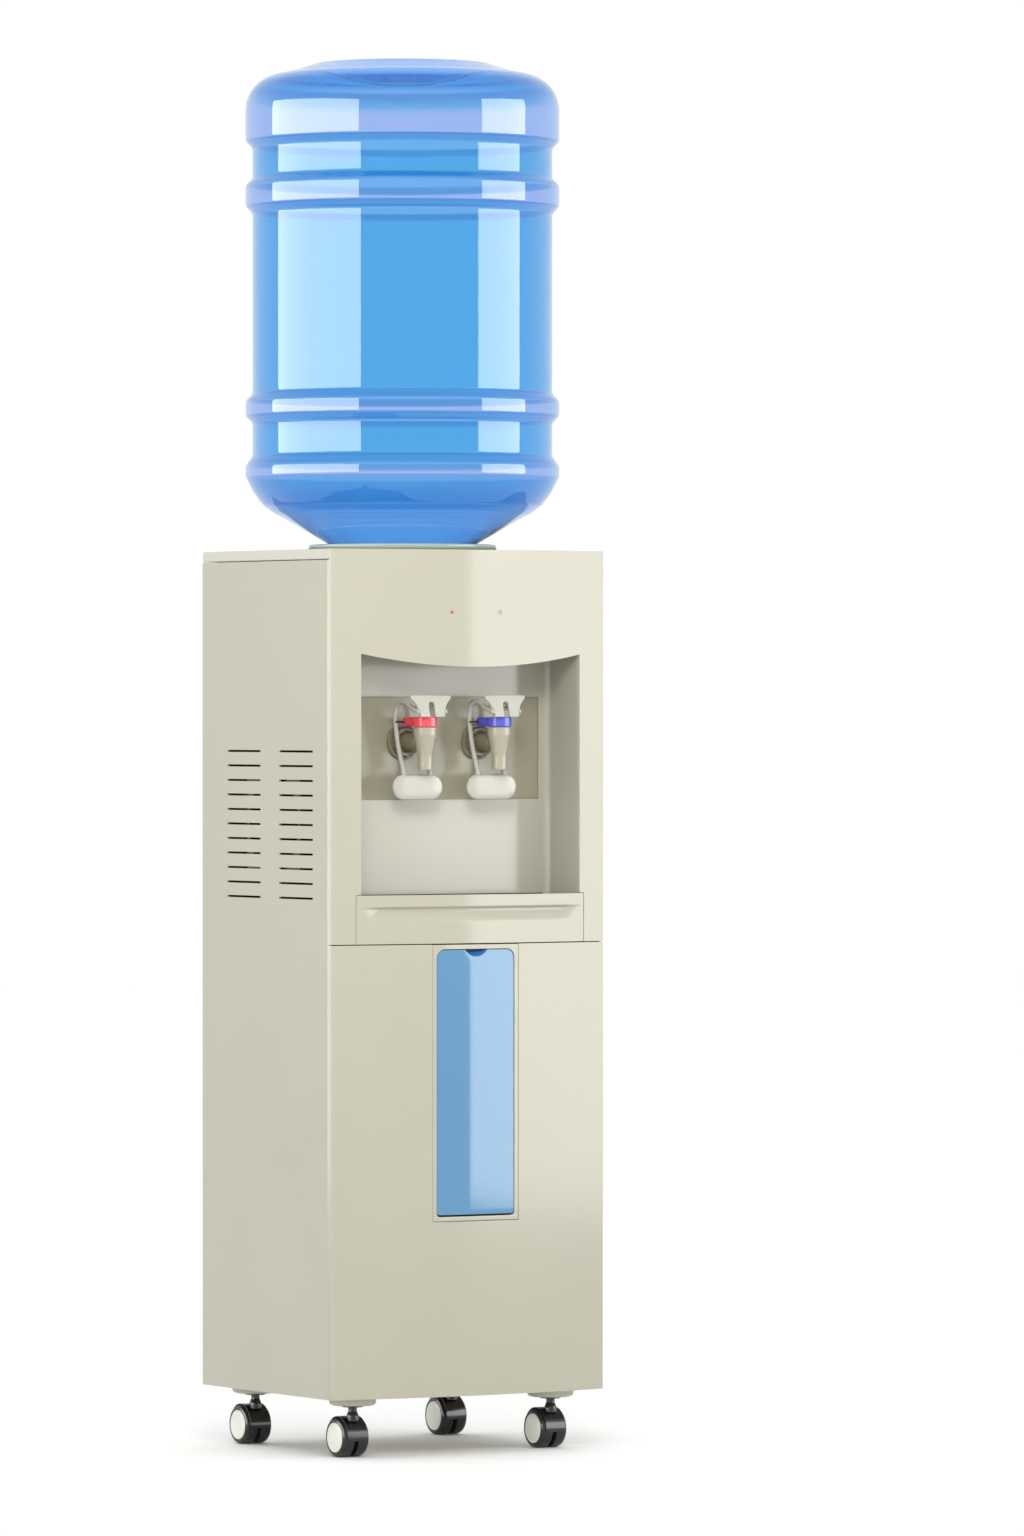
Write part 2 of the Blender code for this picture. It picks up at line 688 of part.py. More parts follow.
def make_lower_front_panel():
    panel = new_object(
        "lower_front_panel", front_band(WIDTH / 2, 0, SKIN, BASE_Z, SEAM_Z - GAP, 20), ivory()
    )
    half = DOOR_FRAME_WIDTH / 2 + GAP
    bottom = SEAM_Z - SEAM - DOOR_FRAME_HEIGHT - GAP
    cut(panel, block((-half, FRONT_Y - CUT_REACH, bottom), (half, FRONT_Y + CUT_REACH, SEAM_Z + 5)))


def make_door_frame():
    bottom, top = door_levels()
    half = DOOR_FRAME_WIDTH / 2
    frame = new_object(
        "door_frame",
        front_band(half, 0, DOOR_FRAME_DEPTH, bottom - DOOR_FRAME_BORDER, top + DOOR_FRAME_BORDER, 8),
        ivory(),
    )
    inner = half - DOOR_FRAME_BORDER
    cut(frame, block((-inner, FRONT_Y - CUT_REACH, bottom), (inner, FRONT_Y + CUT_REACH, top)))
    reach = inner + DOOR_PIN_REACH
    cut(frame, rod(DOOR_PIN_RADIUS + TURN_GAP, -reach, reach, hinge_place(), "X"))


def make_cup_door():
    bottom, top = door_levels()
    half = DOOR_FRAME_WIDTH / 2 - DOOR_FRAME_BORDER - SEAM
    hinge_y, hinge_z = hinge_place()
    door = new_object(
        "cup_door",
        front_band(half, DOOR_SINK, DOOR_SINK + DOOR_SKIN, bottom + DOOR_FOOT_GAP, top - SEAM, 8),
        bottle_blue(),
        (0, hinge_y, hinge_z),
    )
    arc_z = top - SEAM - NOTCH_DROP + NOTCH_RADIUS
    cut(door, rod(NOTCH_RADIUS, FRONT_Y - CUT_REACH, FRONT_Y + CUT_REACH, (0, arc_z), "Y"))
    reach = half + SEAM + DOOR_PIN_REACH - GAP
    join(door, rod(DOOR_PIN_RADIUS, -reach, reach, (hinge_y, hinge_z), "X", 12))


def make_cup_bin():
    bottom, top = door_levels()
    half = DOOR_FRAME_WIDTH / 2 - DOOR_FRAME_BORDER
    back = front_y(0, BIN_SETBACK) + BIN_DEPTH
    outer = plan_block(half + BIN_WALL, BIN_SETBACK, back, bottom - BIN_WALL, top + BIN_WALL)
    cup_bin = new_object("cup_bin", outer, white())
    cut(cup_bin, block((-half, FRONT_Y - CUT_REACH, bottom), (half, back - BIN_WALL, top)))


# ---------------------------------------------------------------- taps


def make_tap_body(name, x):
    top = COLLAR_RING_Z + COLLAR_RING_HEIGHT - 1.3
    shoulder = COLLAR_RING_Z - GAP
    profile = [
        (0, TAP_Z - TAP_SPOUT_DROP),
        (TAP_SPOUT_RADIUS, TAP_Z - TAP_SPOUT_DROP),
        (TAP_SPOUT_RADIUS + 0.6, TAP_Z - 10),
        (TAP_BODY_RADIUS, TAP_Z + 6),
        (TAP_BODY_RADIUS, shoulder),
        (COLLAR_RING_BORE - GAP, shoulder),
        (COLLAR_RING_BORE - GAP, top),
        (0, top),
    ]
    body = new_object(name, turned(profile, 20, (x, TAP_Y, 0)), white())
    flange = PANEL_Y - GAP
    near = flange - TAP_FLANGE_THICKNESS
    shapes = (
        (join, rod(TAP_INLET_RADIUS, TAP_Y + 2, INLET_END_Y, (x, TAP_Z), "Y")),
        (join, rod(TAP_FLANGE_RADIUS, near, flange, (x, TAP_Z), "Y", 20)),
        (cut, rod(TAP_BORE, TAP_Z - TAP_SPOUT_DROP - 1, top - 5, (x, TAP_Y), steps=12)),
        (cut, rod(STEM_RADIUS + TURN_GAP, top - 8, top + 2, (x, TAP_Y), steps=12)),
        (cut, rod(TAP_INLET_BORE, TAP_Y + 1, INLET_END_Y + 1, (x, TAP_Z), "Y", 12)),
    )
    for change, shape in shapes:
        change(body, shape, "MANIFOLD")


def make_tap_nut(name, x):
    outline = arc((x, TAP_Z), 13.0, 0, 300, 5)
    near = PANEL_Y + INNER_WALL + GAP
    nut = new_object(name, prism(outline, near, near + 5, "Y"), white())
    cut(nut, rod(TAP_INLET_RADIUS + GAP, near - 1, near + 6, (x, TAP_Z), "Y"))


def make_tap_collar(name, x, surface):
    bottom = COLLAR_RING_Z
    top = bottom + COLLAR_RING_HEIGHT
    collar = new_object(name, rod(COLLAR_RING_RADIUS, bottom, top, (x, TAP_Y), steps=24), surface)
    half = LUG_WIDTH / 2
    pin = (TAP_Y + PIVOT_SETBACK, PIVOT_Z)
    radius = COLLAR_RING_HEIGHT / 2 - GAP
    root = TAP_Y + COLLAR_RING_RADIUS - 2
    lug = [(root, PIVOT_Z - radius), *arc(pin, radius, -90, 90, 6), (root, PIVOT_Z + radius)]
    shapes = (
        (join, prism(lug, x - half, x + half, "X")),
        (cut, rod(COLLAR_RING_BORE, bottom - 1, top + 1, (x, TAP_Y), steps=20)),
        (cut, rod(PIVOT_RADIUS + TURN_GAP, x - half - 1, x + half + 1, pin, "X", 12)),
    )
    for change, shape in shapes:
        change(collar, shape, "MANIFOLD")


def make_tap_stem(name, x):
    head = PIVOT_Z + 9.7
    foot = TAP_Z - 12.5
    profile = [
        (0, foot),
        (PLUNGER_RADIUS, foot),
        (PLUNGER_RADIUS, foot + 3),
        (STEM_RADIUS, foot + 4),
        (STEM_RADIUS, head - 2),
        (STEM_HEAD_RADIUS, head - 2),
        (STEM_HEAD_RADIUS, head),
        (0, head),
    ]
    new_object(name, turned(profile, 16, (x, TAP_Y, 0)), dark_steel(), (x, TAP_Y, head))


def stadium(x, z, width, height, count=8):
    """An upright oval outline with round ends."""
    radius = height / 2
    reach = width / 2 - radius
    return arc((x + reach, z), radius, -90, 90, count) + arc((x - reach, z), radius, 90, 270, count)


def make_tap_lever(name, x):
    """The lever hangs on a pin behind the collar. Its pad is pushed back, and its bar presses the stem."""
    pivot = (x, TAP_Y + PIVOT_SETBACK, PIVOT_Z)
    pad_y = TAP_Y + PAD_SETBACK
    pad_z = TAP_Z - PAD_DROP
    reach = PAD_THICKNESS / 2
    pad = prism(stadium(x, pad_z, PAD_WIDTH, PAD_HEIGHT), pad_y - reach, pad_y + reach, "Y")
    lever = new_object(name, pad, white(), pivot)
    bar_z = PIVOT_Z + 10 + LEVER_ROD_RADIUS
    thumb_y = TAP_Y - COLLAR_RING_RADIUS - 2
    for side in (-1, 1):
        arm_x = x + side * LEVER_ARM_X
        arm = (
            (arm_x, pad_y, pad_z + 3),
            (arm_x, pad_y + 1.5, pad_z + 15),
            (arm_x, pad_y + 9, pad_z + 33),
            (arm_x, pivot[1] + 2, pivot[2] - 6),
            (arm_x, pivot[1] + 2.5, pivot[2] + 8),
            (arm_x, pivot[1] - 3, pivot[2] + 16),
            (arm_x, TAP_Y + 11, pivot[2] + 17),
            (arm_x, TAP_Y, bar_z),
            (arm_x, thumb_y + 1, bar_z - 3),
        )
        join(lever, swept(arm, LEVER_ROD_RADIUS, 7, 3))
    reach = LEVER_ARM_X
    join(lever, rod(LEVER_ROD_RADIUS, x - reach, x + reach, (TAP_Y, bar_z), "X", 12))
    join(lever, rod(PIVOT_RADIUS, x - reach, x + reach, pivot[1:], "X", 12))
    low = PIVOT_Z + COLLAR_RING_HEIGHT / 2
    thumb = (
        (-12.6, low), (-3.0, low), (-3.0, low + 12), (3.0, low + 12), (3.0, low), (12.6, low),
        (14.6, low + 6), (16.5, low + 12), (20.0, low + 16), (20.0, low + 19),
        (-20.0, low + 19), (-20.0, low + 16), (-16.5, low + 12), (-14.6, low + 6),
    )
    plate = prism([(x + a, b) for a, b in thumb], thumb_y - 1.5, thumb_y + 1.5, "Y")
    lean = Matrix.Rotation(math.radians(-14), 4, "X")
    foot = Matrix.Translation((x, thumb_y, low))
    bmesh.ops.transform(plate, matrix=foot @ lean @ foot.inverted(), verts=plate.verts)
    join(lever, plate)


def make_taps():
    for word, side, surface in (("hot", -1, red()), ("cold", 1, blue())):
        x = side * TAP_SPACING / 2
        make_tap_body(f"tap_body_{word}", x)
        make_tap_nut(f"tap_nut_{word}", x)
        make_tap_collar(f"tap_collar_{word}", x, surface)
        make_tap_stem(f"tap_stem_{word}", x)
        make_tap_lever(f"tap_lever_{word}", x)


# ---------------------------------------------------------------- bottle


def rib(middle, flat, ramp=6.5):
    """Four points of a rib: out, along and back to the body."""
    low = COLLAR_Z + middle - flat / 2
    high = COLLAR_Z + middle + flat / 2
    return [
        (BOTTLE_RADIUS, low - ramp),
        (BOTTLE_RIB_RADIUS, low),
        (BOTTLE_RIB_RADIUS, high),
        (BOTTLE_RADIUS, high + ramp),
    ]


def make_bottle():
    top = COLLAR_Z + BOTTLE_HEIGHT
    mouth = COLLAR_Z - NECK_DROP
    throat_z = COLLAR_Z - (SEAT_RADIUS - THROAT_RADIUS) * CONE_SLOPE
    corner = 32.0
    edge_z = top - 9 - corner
    edge_r = BOTTLE_RIB_RADIUS - corner
    shoulder = [(102.0, 22.0), (112.0, 27.0), (122.0, 34.5), (130.0, 45.0)]
    outer = [
        (NECK_RADIUS, mouth),
        (NECK_RADIUS, mouth + 30),
        (NECK_RING_RADIUS, mouth + 32),
        (NECK_RING_RADIUS, mouth + 46),
        (NECK_RADIUS, mouth + 48),
        (NECK_RADIUS, throat_z - 21),
        (NECK_RADIUS + 5, throat_z - 9),
        (THROAT_RADIUS, throat_z),
        *[(radius, COLLAR_Z + rise) for radius, rise in shoulder],
        *rib(64.0, 9.0, 9.0)[1:],
        *rib(119.0, 13.0),
        *rib(304.5, 18.0),
        (BOTTLE_RADIUS, COLLAR_Z + 346),
        (BOTTLE_RIB_RADIUS, COLLAR_Z + 352.5),
        *arc((edge_r, edge_z), corner, 0, 90, 6),
        (66.0, top),
        (58.0, top - 2),
        (40.0, top - 12),
        (0.0, top - 16),
    ]
    skin = BOTTLE_SKIN
    inner_corner = corner - skin
    inner = [
        (0.0, top - 16 - skin),
        (41.0, top - 12 - skin),
        (67.0, top - skin),
        *arc((edge_r, edge_z), inner_corner - 4, 90, 0, 4)[:-1],
        (BOTTLE_RADIUS - skin, edge_z - 8),
        (BOTTLE_RADIUS - skin, COLLAR_Z + 58),
        (122.0 - skin, COLLAR_Z + 36.5),
        (102.0 - skin, COLLAR_Z + 22.0 + skin / 2),
        (THROAT_RADIUS - skin, throat_z + skin / 2),
        (NECK_RADIUS + 5 - skin, throat_z - 9),
        (NECK_RADIUS - skin, throat_z - 21),
        (NECK_RADIUS - skin, mouth),
    ]
    new_object("bottle", turned(outer + inner, 32), bottle_blue())


# ---------------------------------------------------------------- water, cooling and power


def make_reservoir():
    top = RESERVOIR_TOP_Z
    step = top - RESERVOIR_TOP_DEPTH
    floor = SUMP_FLOOR_Z
    wide, slim, wall = RESERVOIR_RADIUS, RESERVOIR_SUMP_RADIUS, TANK_WALL
    profile = [
        (0, floor),
        (slim, floor),
        (slim, step - 8),
        (wide, step),
        (wide, top),
        (wide - wall, top),
        (wide - wall, step + wall),
        (slim - wall, step - 8 + wall),
        (slim - wall, floor + wall),
        (0, floor + wall),
    ]
    new_object("reservoir", turned(profile, 28), white())


def make_hot_tank():
    low, high = HOT_TANK_Z, HOT_TANK_Z + HOT_TANK_HEIGHT
    radius, wall = HOT_TANK_RADIUS, TANK_WALL
    profile = [
        (0, low),
        (radius - 8, low),
        (radius, low + 8),
        (radius, high - 8),
        (radius - 8, high),
        (5, high),
        (5, high + HOT_TANK_NECK),
        (3.2, high + HOT_TANK_NECK),
        (3.2, high - wall),
        (radius - 8, high - wall),
        (radius - wall, high - 8),
        (radius - wall, low + 8),
        (radius - 8, low + wall),
        (0, low + wall),
    ]
    new_object("hot_tank", turned(profile, 24, (HOT_TANK_X, HOT_TANK_Y, 0)), steel())


def make_tube(name, points):
    """A soft tube: a curve object with a round bevel and filled caps."""
    path = smooth_path([Vector(point) for point in points], 3)
    curve = bpy.data.curves.new(name, "CURVE")
    curve.dimensions = "3D"
    curve.bevel_depth = TUBE_RADIUS * MM
    curve.bevel_resolution = 2
    curve.use_fill_caps = True
    spline = curve.splines.new("POLY")
    spline.points.add(len(path) - 1)
    for point, place in zip(spline.points, path):
        point.co = (*(place * MM), 1.0)
    curve.materials.append(silicone())
    obj = bpy.data.objects.new(name, curve)
    bpy.context.scene.collection.objects.link(obj)


def make_tubes():
    sump_floor = SUMP_FLOOR_Z
    inlet_y = INLET_END_Y + GAP
    side = TAP_SPACING / 2
    clear = RESERVOIR_SUMP_RADIUS + TUBE_RADIUS + 3
    run_y = -math.sqrt(max(clear**2 - side**2, 0)) - 1
    make_tube(
        "tube_cold",
        (
            (side, inlet_y, TAP_Z),
            (side, inlet_y + 6, TAP_Z - 1),
            (side, run_y, TAP_Z - 16),
            (side, run_y, sump_floor - 2),
            (side - 5, run_y + 5, sump_floor - 18),
            (side - 20, run_y + 20, sump_floor - 25),
            (8, -4, sump_floor - 19),
            (8, 0, sump_floor - 9),
            (8, 0, sump_floor - 2 * GAP),
        ),
    )
    neck_z = HOT_TANK_Z + HOT_TANK_HEIGHT + HOT_TANK_NECK
    make_tube(
        "tube_hot",
        (
            (-side, inlet_y, TAP_Z),
            (-side, inlet_y + 6, TAP_Z - 1),
            (-side, run_y, TAP_Z - 16),
            (-side, run_y, sump_floor - 2),
            (-side + 5, run_y + 8, sump_floor - 16),
            (-10, 15, sump_floor - 30),
            (HOT_TANK_X - 6, HOT_TANK_Y - 6, neck_z + 24),
            (HOT_TANK_X, HOT_TANK_Y, neck_z + 11),
            (HOT_TANK_X, HOT_TANK_Y, neck_z + 3 * GAP),
        ),
    )
    wall_x = HOT_TANK_X - HOT_TANK_RADIUS
    foot_z = HOT_TANK_Z + 25
    make_tube(
        "tube_feed",
        (
            (-14, 16, sump_floor - 2 * GAP),
            (-14, 16, sump_floor - 9),
            (-22, 22, sump_floor - 26),
            (wall_x - 13, HOT_TANK_Y, HOT_TANK_Z + HOT_TANK_HEIGHT),
            (wall_x - 14, HOT_TANK_Y, foot_z + 20),
            (wall_x - 9, HOT_TANK_Y, foot_z + 1),
            (wall_x - 4, HOT_TANK_Y, foot_z),
            (wall_x - 2 * GAP, HOT_TANK_Y, foot_z),
        ),
    )


def make_heat_sink():
    """Upright fins on a plate beside the reservoir's sump."""
    low_x = FAN_INNER_X + 1.5
    plate_x = -RESERVOIR_SUMP_RADIUS - 12
    half = FAN_SIZE / 2 - 6
    pitch = (2 * half - FIN_THICKNESS) / (FIN_COUNT - 1)
    outline = [(plate_x, FAN_Y - half), (plate_x, FAN_Y + half)]
    root_x = plate_x - 4
    for i in reversed(range(FIN_COUNT)):
        near = FAN_Y - half + i * pitch
        fin = [(root_x, near + FIN_THICKNESS), (low_x, near + FIN_THICKNESS), (low_x, near), (root_x, near)]
        if i == FIN_COUNT - 1:
            fin = fin[1:]
        if i == 0:
            fin = fin[:-1]
        outline += fin
    new_object("heat_sink", prism(outline, FAN_Z - half, FAN_Z + half), aluminium())


def make_fan():
    outer_x, inner_x = FAN_OUTER_X, FAN_INNER_X
    half = FAN_SIZE / 2
    low = (outer_x, FAN_Y - half, FAN_Z - half)
    frame = new_object("fan_frame", block(low, (inner_x, FAN_Y + half, FAN_Z + half)), black())
    centre = (FAN_Y, FAN_Z)
    cut(frame, rod(half - 3, outer_x - 1, inner_x + 1, centre, "X", 28))
    for low_y, low_z in ((half, 3), (3, half)):
        corner = (inner_x - 3, FAN_Y - low_y + 1, FAN_Z - low_z + 1)
        join(frame, block(corner, (inner_x, FAN_Y + low_y - 1, FAN_Z + low_z - 1)))
    join(frame, rod(FAN_HUB_RADIUS + 1, inner_x - 4, inner_x - 0.01, centre, "X", 20))
    cut(frame, rod(2 + TURN_GAP, inner_x - 6, inner_x - 1.5, centre, "X"))
    hub_low, hub_high = outer_x + 3, inner_x - 5
    rotor = new_object(
        "fan_rotor", rod(FAN_HUB_RADIUS, hub_low, hub_high, centre, "X", 20), black(), (hub_high, FAN_Y, FAN_Z)
    )
    join(rotor, rod(2, hub_high - 3, hub_high + 3, centre, "X", 12))
    reach = half - 3 - 2
    middle_x = (hub_low + hub_high) / 2
    for i in range(FAN_BLADES):
        blade = block((-0.8, FAN_HUB_RADIUS - 2, -8), (0.8, reach, 8))
        bmesh.ops.transform(blade, matrix=Matrix.Rotation(math.radians(38), 4, "Y"), verts=blade.verts)
        turn = Matrix.Rotation(math.tau * i / FAN_BLADES, 4, "X")
        place = Matrix.Translation((middle_x, FAN_Y, FAN_Z)) @ turn
        bmesh.ops.transform(blade, matrix=place, verts=blade.verts)
        join(rotor, blade)


def make_power_board():
    """A board with a transformer, a capacitor and a row of plugs, whose pins come out below."""
    low = BASE_Z + BOARD_RISE
    top = low + BOARD_THICKNESS
    board = new_object("power_board", block((-70, 20, low), (30, 80, top)), board_green())
    join(board, block((-60, 30, top - 1), (-22, 68, top + 28)))
    join(board, block((-12, 34, top - 1), (2, 62, top + 20)))
    join(board, block((8, 28, low - 6), (22, 72, top + 8)))


def make_switches():
    near, far = BACK_Y - 14, BACK_Y + 1.5
    low = (SWITCH_X - BEZEL_HALF_WIDTH, near, SWITCH_Z - BEZEL_HALF_HEIGHT)
    high = (SWITCH_X + BEZEL_HALF_WIDTH, far, SWITCH_Z + BEZEL_HALF_HEIGHT)
    bezel = new_object("switch_bezel", block(low, high), black())
    pivot = (BACK_Y - 5, SWITCH_Z)
    clear = 0.5
    for word, x in (("hot", SWITCH_X - ROCKER_OFFSET), ("cold", SWITCH_X + ROCKER_OFFSET)):
        half_x, half_z = ROCKER_WIDTH / 2 + clear, ROCKER_HEIGHT / 2 + clear
        pocket = block((x - half_x, near - 1, SWITCH_Z - half_z), (x + half_x, far + 1, SWITCH_Z + half_z))
        cut(bezel, pocket)
        reach = half_x + 2.5
        cut(bezel, rod(ROCKER_PIN_RADIUS + TURN_GAP, x - reach, x + reach, pivot, "X", 12))
        half_x, half_z = ROCKER_WIDTH / 2, ROCKER_HEIGHT / 2
        outline = [
            (pivot[0] - 4, SWITCH_Z - 5),
            (far + 1.2, SWITCH_Z - half_z + 0.6),
            (far - 0.6, SWITCH_Z),
            (far + 1.2, SWITCH_Z + half_z - 0.6),
            (pivot[0] - 4, SWITCH_Z + 5),
        ]
        surface = red() if word == "hot" else green()
        rocker = new_object(
            f"switch_{word}", prism(outline, x - half_x, x + half_x, "X"), surface, (x, *pivot)
        )
        join(rocker, rod(ROCKER_PIN_RADIUS, x - reach + 0.5, x + reach - 0.5, pivot, "X", 10))


def make_back_fittings():
    inside, face = BACK_Y - SKIN - 4, BACK_Y + GAP
    radius = GLAND_RADIUS
    gland = [(radius / 2, inside), (radius, inside), (radius, face), (radius + 2, face)]
    gland += [(radius + 2, face + 1.5), (radius - 1.5, face + 7), (radius / 2, face + 7)]
    new_object("cord_gland", turned(gland, 20, (SWITCH_X, 0, GLAND_Z), "Y"), black())
    radius = DRAIN_RADIUS
    plug = [(0, inside - 8), (radius, inside - 8), (radius, face)]
    plug += [(radius + 3, face), (radius + 3, face + 6), (0, face + 6)]
    new_object("drain_plug", turned(plug, 16, (-SWITCH_X, 0, DRAIN_Z), "Y"), white())


# ---------------------------------------------------------------- castors


def make_castor_cup(name, x, y):
    bottom = BASE_Z - CUP_HEIGHT
    top = BASE_Z - GAP
    profile = [
        (STEM_BORE, bottom),
        (CUP_RADIUS - 2.5, bottom),
        (CUP_RADIUS - 0.5, bottom + 1.6),
        (CUP_RADIUS, bottom + 3.5),
        (CUP_RADIUS, top),
        (STEM_BORE, top),
    ]
    new_object(name, turned(profile, 20, (x, y, 0)), ivory())


def make_castor_fork(name, x, y):
    """A stem, a hood over both wheels, a web between them, and the axle."""
    axle = (y + CASTOR_TRAIL, WHEEL_Z)
    half = HOOD_WIDTH / 2
    inner = HOOD_RADIUS - HOOD_THICKNESS
    outline = arc(axle, HOOD_RADIUS, -8, 188, 12) + [(axle[0] - 6, axle[1] - 4), (axle[0] + 6, axle[1] - 4)]
    fork = new_object(name, prism(outline, x - half, x + half, "X"), black(), (x, y, BASE_Z))
    shoulder = WHEEL_Z + HOOD_RADIUS + 1.6
    hood_top = WHEEL_Z + math.sqrt(HOOD_RADIUS**2 - CASTOR_TRAIL**2)
    profile = [
        (0, hood_top - 2.5),
        (5.2, hood_top - 2.5),
        (5.0, shoulder),
        (CASTOR_STEM_RADIUS, shoulder + 2.5),
        (CASTOR_STEM_RADIUS, BASE_Z + 9),
        (0, BASE_Z + 9),
    ]
    join(fork, turned(profile, 12, (x, y, 0)))
    for side in (-1, 1):
        near, far = sorted((x + side * WEB_HALF, x + side * (half + 5)))
        cut(fork, rod(inner, near, far, axle, "X", 24))
    reach = WHEEL_OUTER - 1.5
    join(fork, rod(AXLE_RADIUS, x - reach, x + reach, axle, "X", 12))


def make_castor_wheel(name, x, y, side):
    """Flats, not corners, lie on the wheel's radius, so the wheel stands on a flat."""
    steps = 18
    radius = WHEEL_RADIUS / math.cos(math.pi / steps)
    shoulder = 2.2
    bore = AXLE_RADIUS + TURN_GAP
    outer, inner = WHEEL_OUTER, WHEEL_INNER
    profile = [
        (0, outer + HUB_RISE),
        (HUB_RADIUS, outer + HUB_RISE),
        (radius - shoulder, outer),
        (radius, outer - shoulder),
        (radius, inner),
        (bore, inner),
        (bore, outer - 1.2),
        (0, outer - 1.2),
    ]
    profile = [(r, side * h) for r, h in profile]
    centre = (x, y + CASTOR_TRAIL, WHEEL_Z)
    new_object(name, turned(profile, steps, centre, "X", half_step=True), black(), centre)


def make_castors():
    for end, y in (("front", -CASTOR_Y), ("back", CASTOR_Y)):
        for hand, x in (("left", -CASTOR_X), ("right", CASTOR_X)):
            place = f"{end}_{hand}"
            make_castor_cup(f"castor_cup_{place}", x, y)
            make_castor_fork(f"castor_fork_{place}", x, y)
            make_castor_wheel(f"castor_wheel_a_{place}", x, y, -1)
            make_castor_wheel(f"castor_wheel_b_{place}", x, y, 1)


def main():
    clear_scene()
    make_side_panels()
    make_base_pan()
    make_back_panel()
    make_top_cover()
    make_bottle_collar()
    make_front_fascia()
    make_lamps()
    make_niche_liner()
    make_tap_panel()
    make_drip_tray()
    make_drip_grille()
    make_lower_front_panel()
    make_door_frame()
    make_cup_door()
    make_cup_bin()
    make_taps()
    make_bottle()
    make_reservoir()
    make_hot_tank()
    make_tubes()
    make_fan()
    make_heat_sink()
    make_power_board()
    make_switches()
    make_back_fittings()
    make_castors()


main()
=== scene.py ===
"""Looks of a floor-standing, bottle-fed water dispenser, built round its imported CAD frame."""

import math

import bmesh
import bpy
from mathutils import Matrix, Vector


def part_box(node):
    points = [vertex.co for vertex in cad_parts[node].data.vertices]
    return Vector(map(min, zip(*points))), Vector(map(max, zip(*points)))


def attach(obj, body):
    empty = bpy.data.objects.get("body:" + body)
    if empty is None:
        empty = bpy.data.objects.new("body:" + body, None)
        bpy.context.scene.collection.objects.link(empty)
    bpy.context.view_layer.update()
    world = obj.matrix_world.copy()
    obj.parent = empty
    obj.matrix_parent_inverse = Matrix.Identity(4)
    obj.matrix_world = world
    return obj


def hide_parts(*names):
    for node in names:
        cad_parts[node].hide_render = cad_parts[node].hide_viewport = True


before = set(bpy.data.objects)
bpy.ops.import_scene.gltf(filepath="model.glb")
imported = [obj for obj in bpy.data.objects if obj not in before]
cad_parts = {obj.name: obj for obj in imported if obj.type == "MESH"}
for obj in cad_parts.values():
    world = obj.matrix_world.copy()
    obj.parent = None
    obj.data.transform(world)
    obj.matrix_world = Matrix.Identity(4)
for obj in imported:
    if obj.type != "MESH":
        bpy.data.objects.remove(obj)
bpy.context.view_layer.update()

# Everything below is in millimetres until a mesh is made.
MM = 0.001


def span(node):
    low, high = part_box(node)
    return low / MM, high / MM


# ---------------------------------------------------------------- places taken from the frame

HALF = span("front_fascia")[1].x
FRONT_BOW = 14.0
FRONT_Y = span("front_fascia")[0].y + FRONT_BOW
BOW_RADIUS = (HALF**2 + FRONT_BOW**2) / (2 * FRONT_BOW)
BOW_CENTRE_Y = FRONT_Y - FRONT_BOW + BOW_RADIUS
SKIN = 2.5
CORNER = 2.0
GAP = 0.3
TOP_Z = span("top_cover")[1].z
BASE_Z = span("base_pan")[0].z
SEAM_Z = span("front_fascia")[0].z
NICHE_HALF = span("niche_liner")[1].x - 2.0
NICHE_BACK_Y = span("niche_liner")[1].y - 2.0
NICHE_TOP_Z = span("niche_liner")[1].z - 4.0
NICHE_SAG = 11.0
TRAY_LOW, TRAY_HIGH = span("drip_tray")
FRAME_LOW, FRAME_HIGH = span("door_frame")
DOOR_LOW, DOOR_HIGH = span("cup_door")
TAP_X = {word: sum(s.x for s in span(f"tap_stem_{word}")) / 2 for word in ("hot", "cold")}
TAP_Y = sum(s.y for s in span("tap_stem_hot")) / 2
TAP_Z = span("tap_body_hot")[0].z + 24.0
RING_LOW, RING_HIGH = span("tap_collar_hot")
PIVOT_Z = (RING_LOW.z + RING_HIGH.z) / 2
PIVOT_Y = TAP_Y + 25.0
COLLAR_Z = span("bottle_collar")[1].z


def front_y(x, inset=0.0):
    """The front's curved face at x, or a curve that far behind it."""
    return BOW_CENTRE_Y - math.sqrt((BOW_RADIUS - inset) ** 2 - x**2)


def skin_y(x):
    """The front's face with its upright corners rounded."""
    past = max(0.0, abs(x) - (HALF - CORNER))
    return front_y(x) + CORNER - math.sqrt(CORNER**2 - past**2)


# ---------------------------------------------------------------- materials


def linear(rgb):
    """Display colour from 0 to 255, as the shader's linear colour."""
    steps = [c / 255 for c in rgb]
    return tuple(c / 12.92 if c <= 0.04045 else ((c + 0.055) / 1.055) ** 2.4 for c in steps)


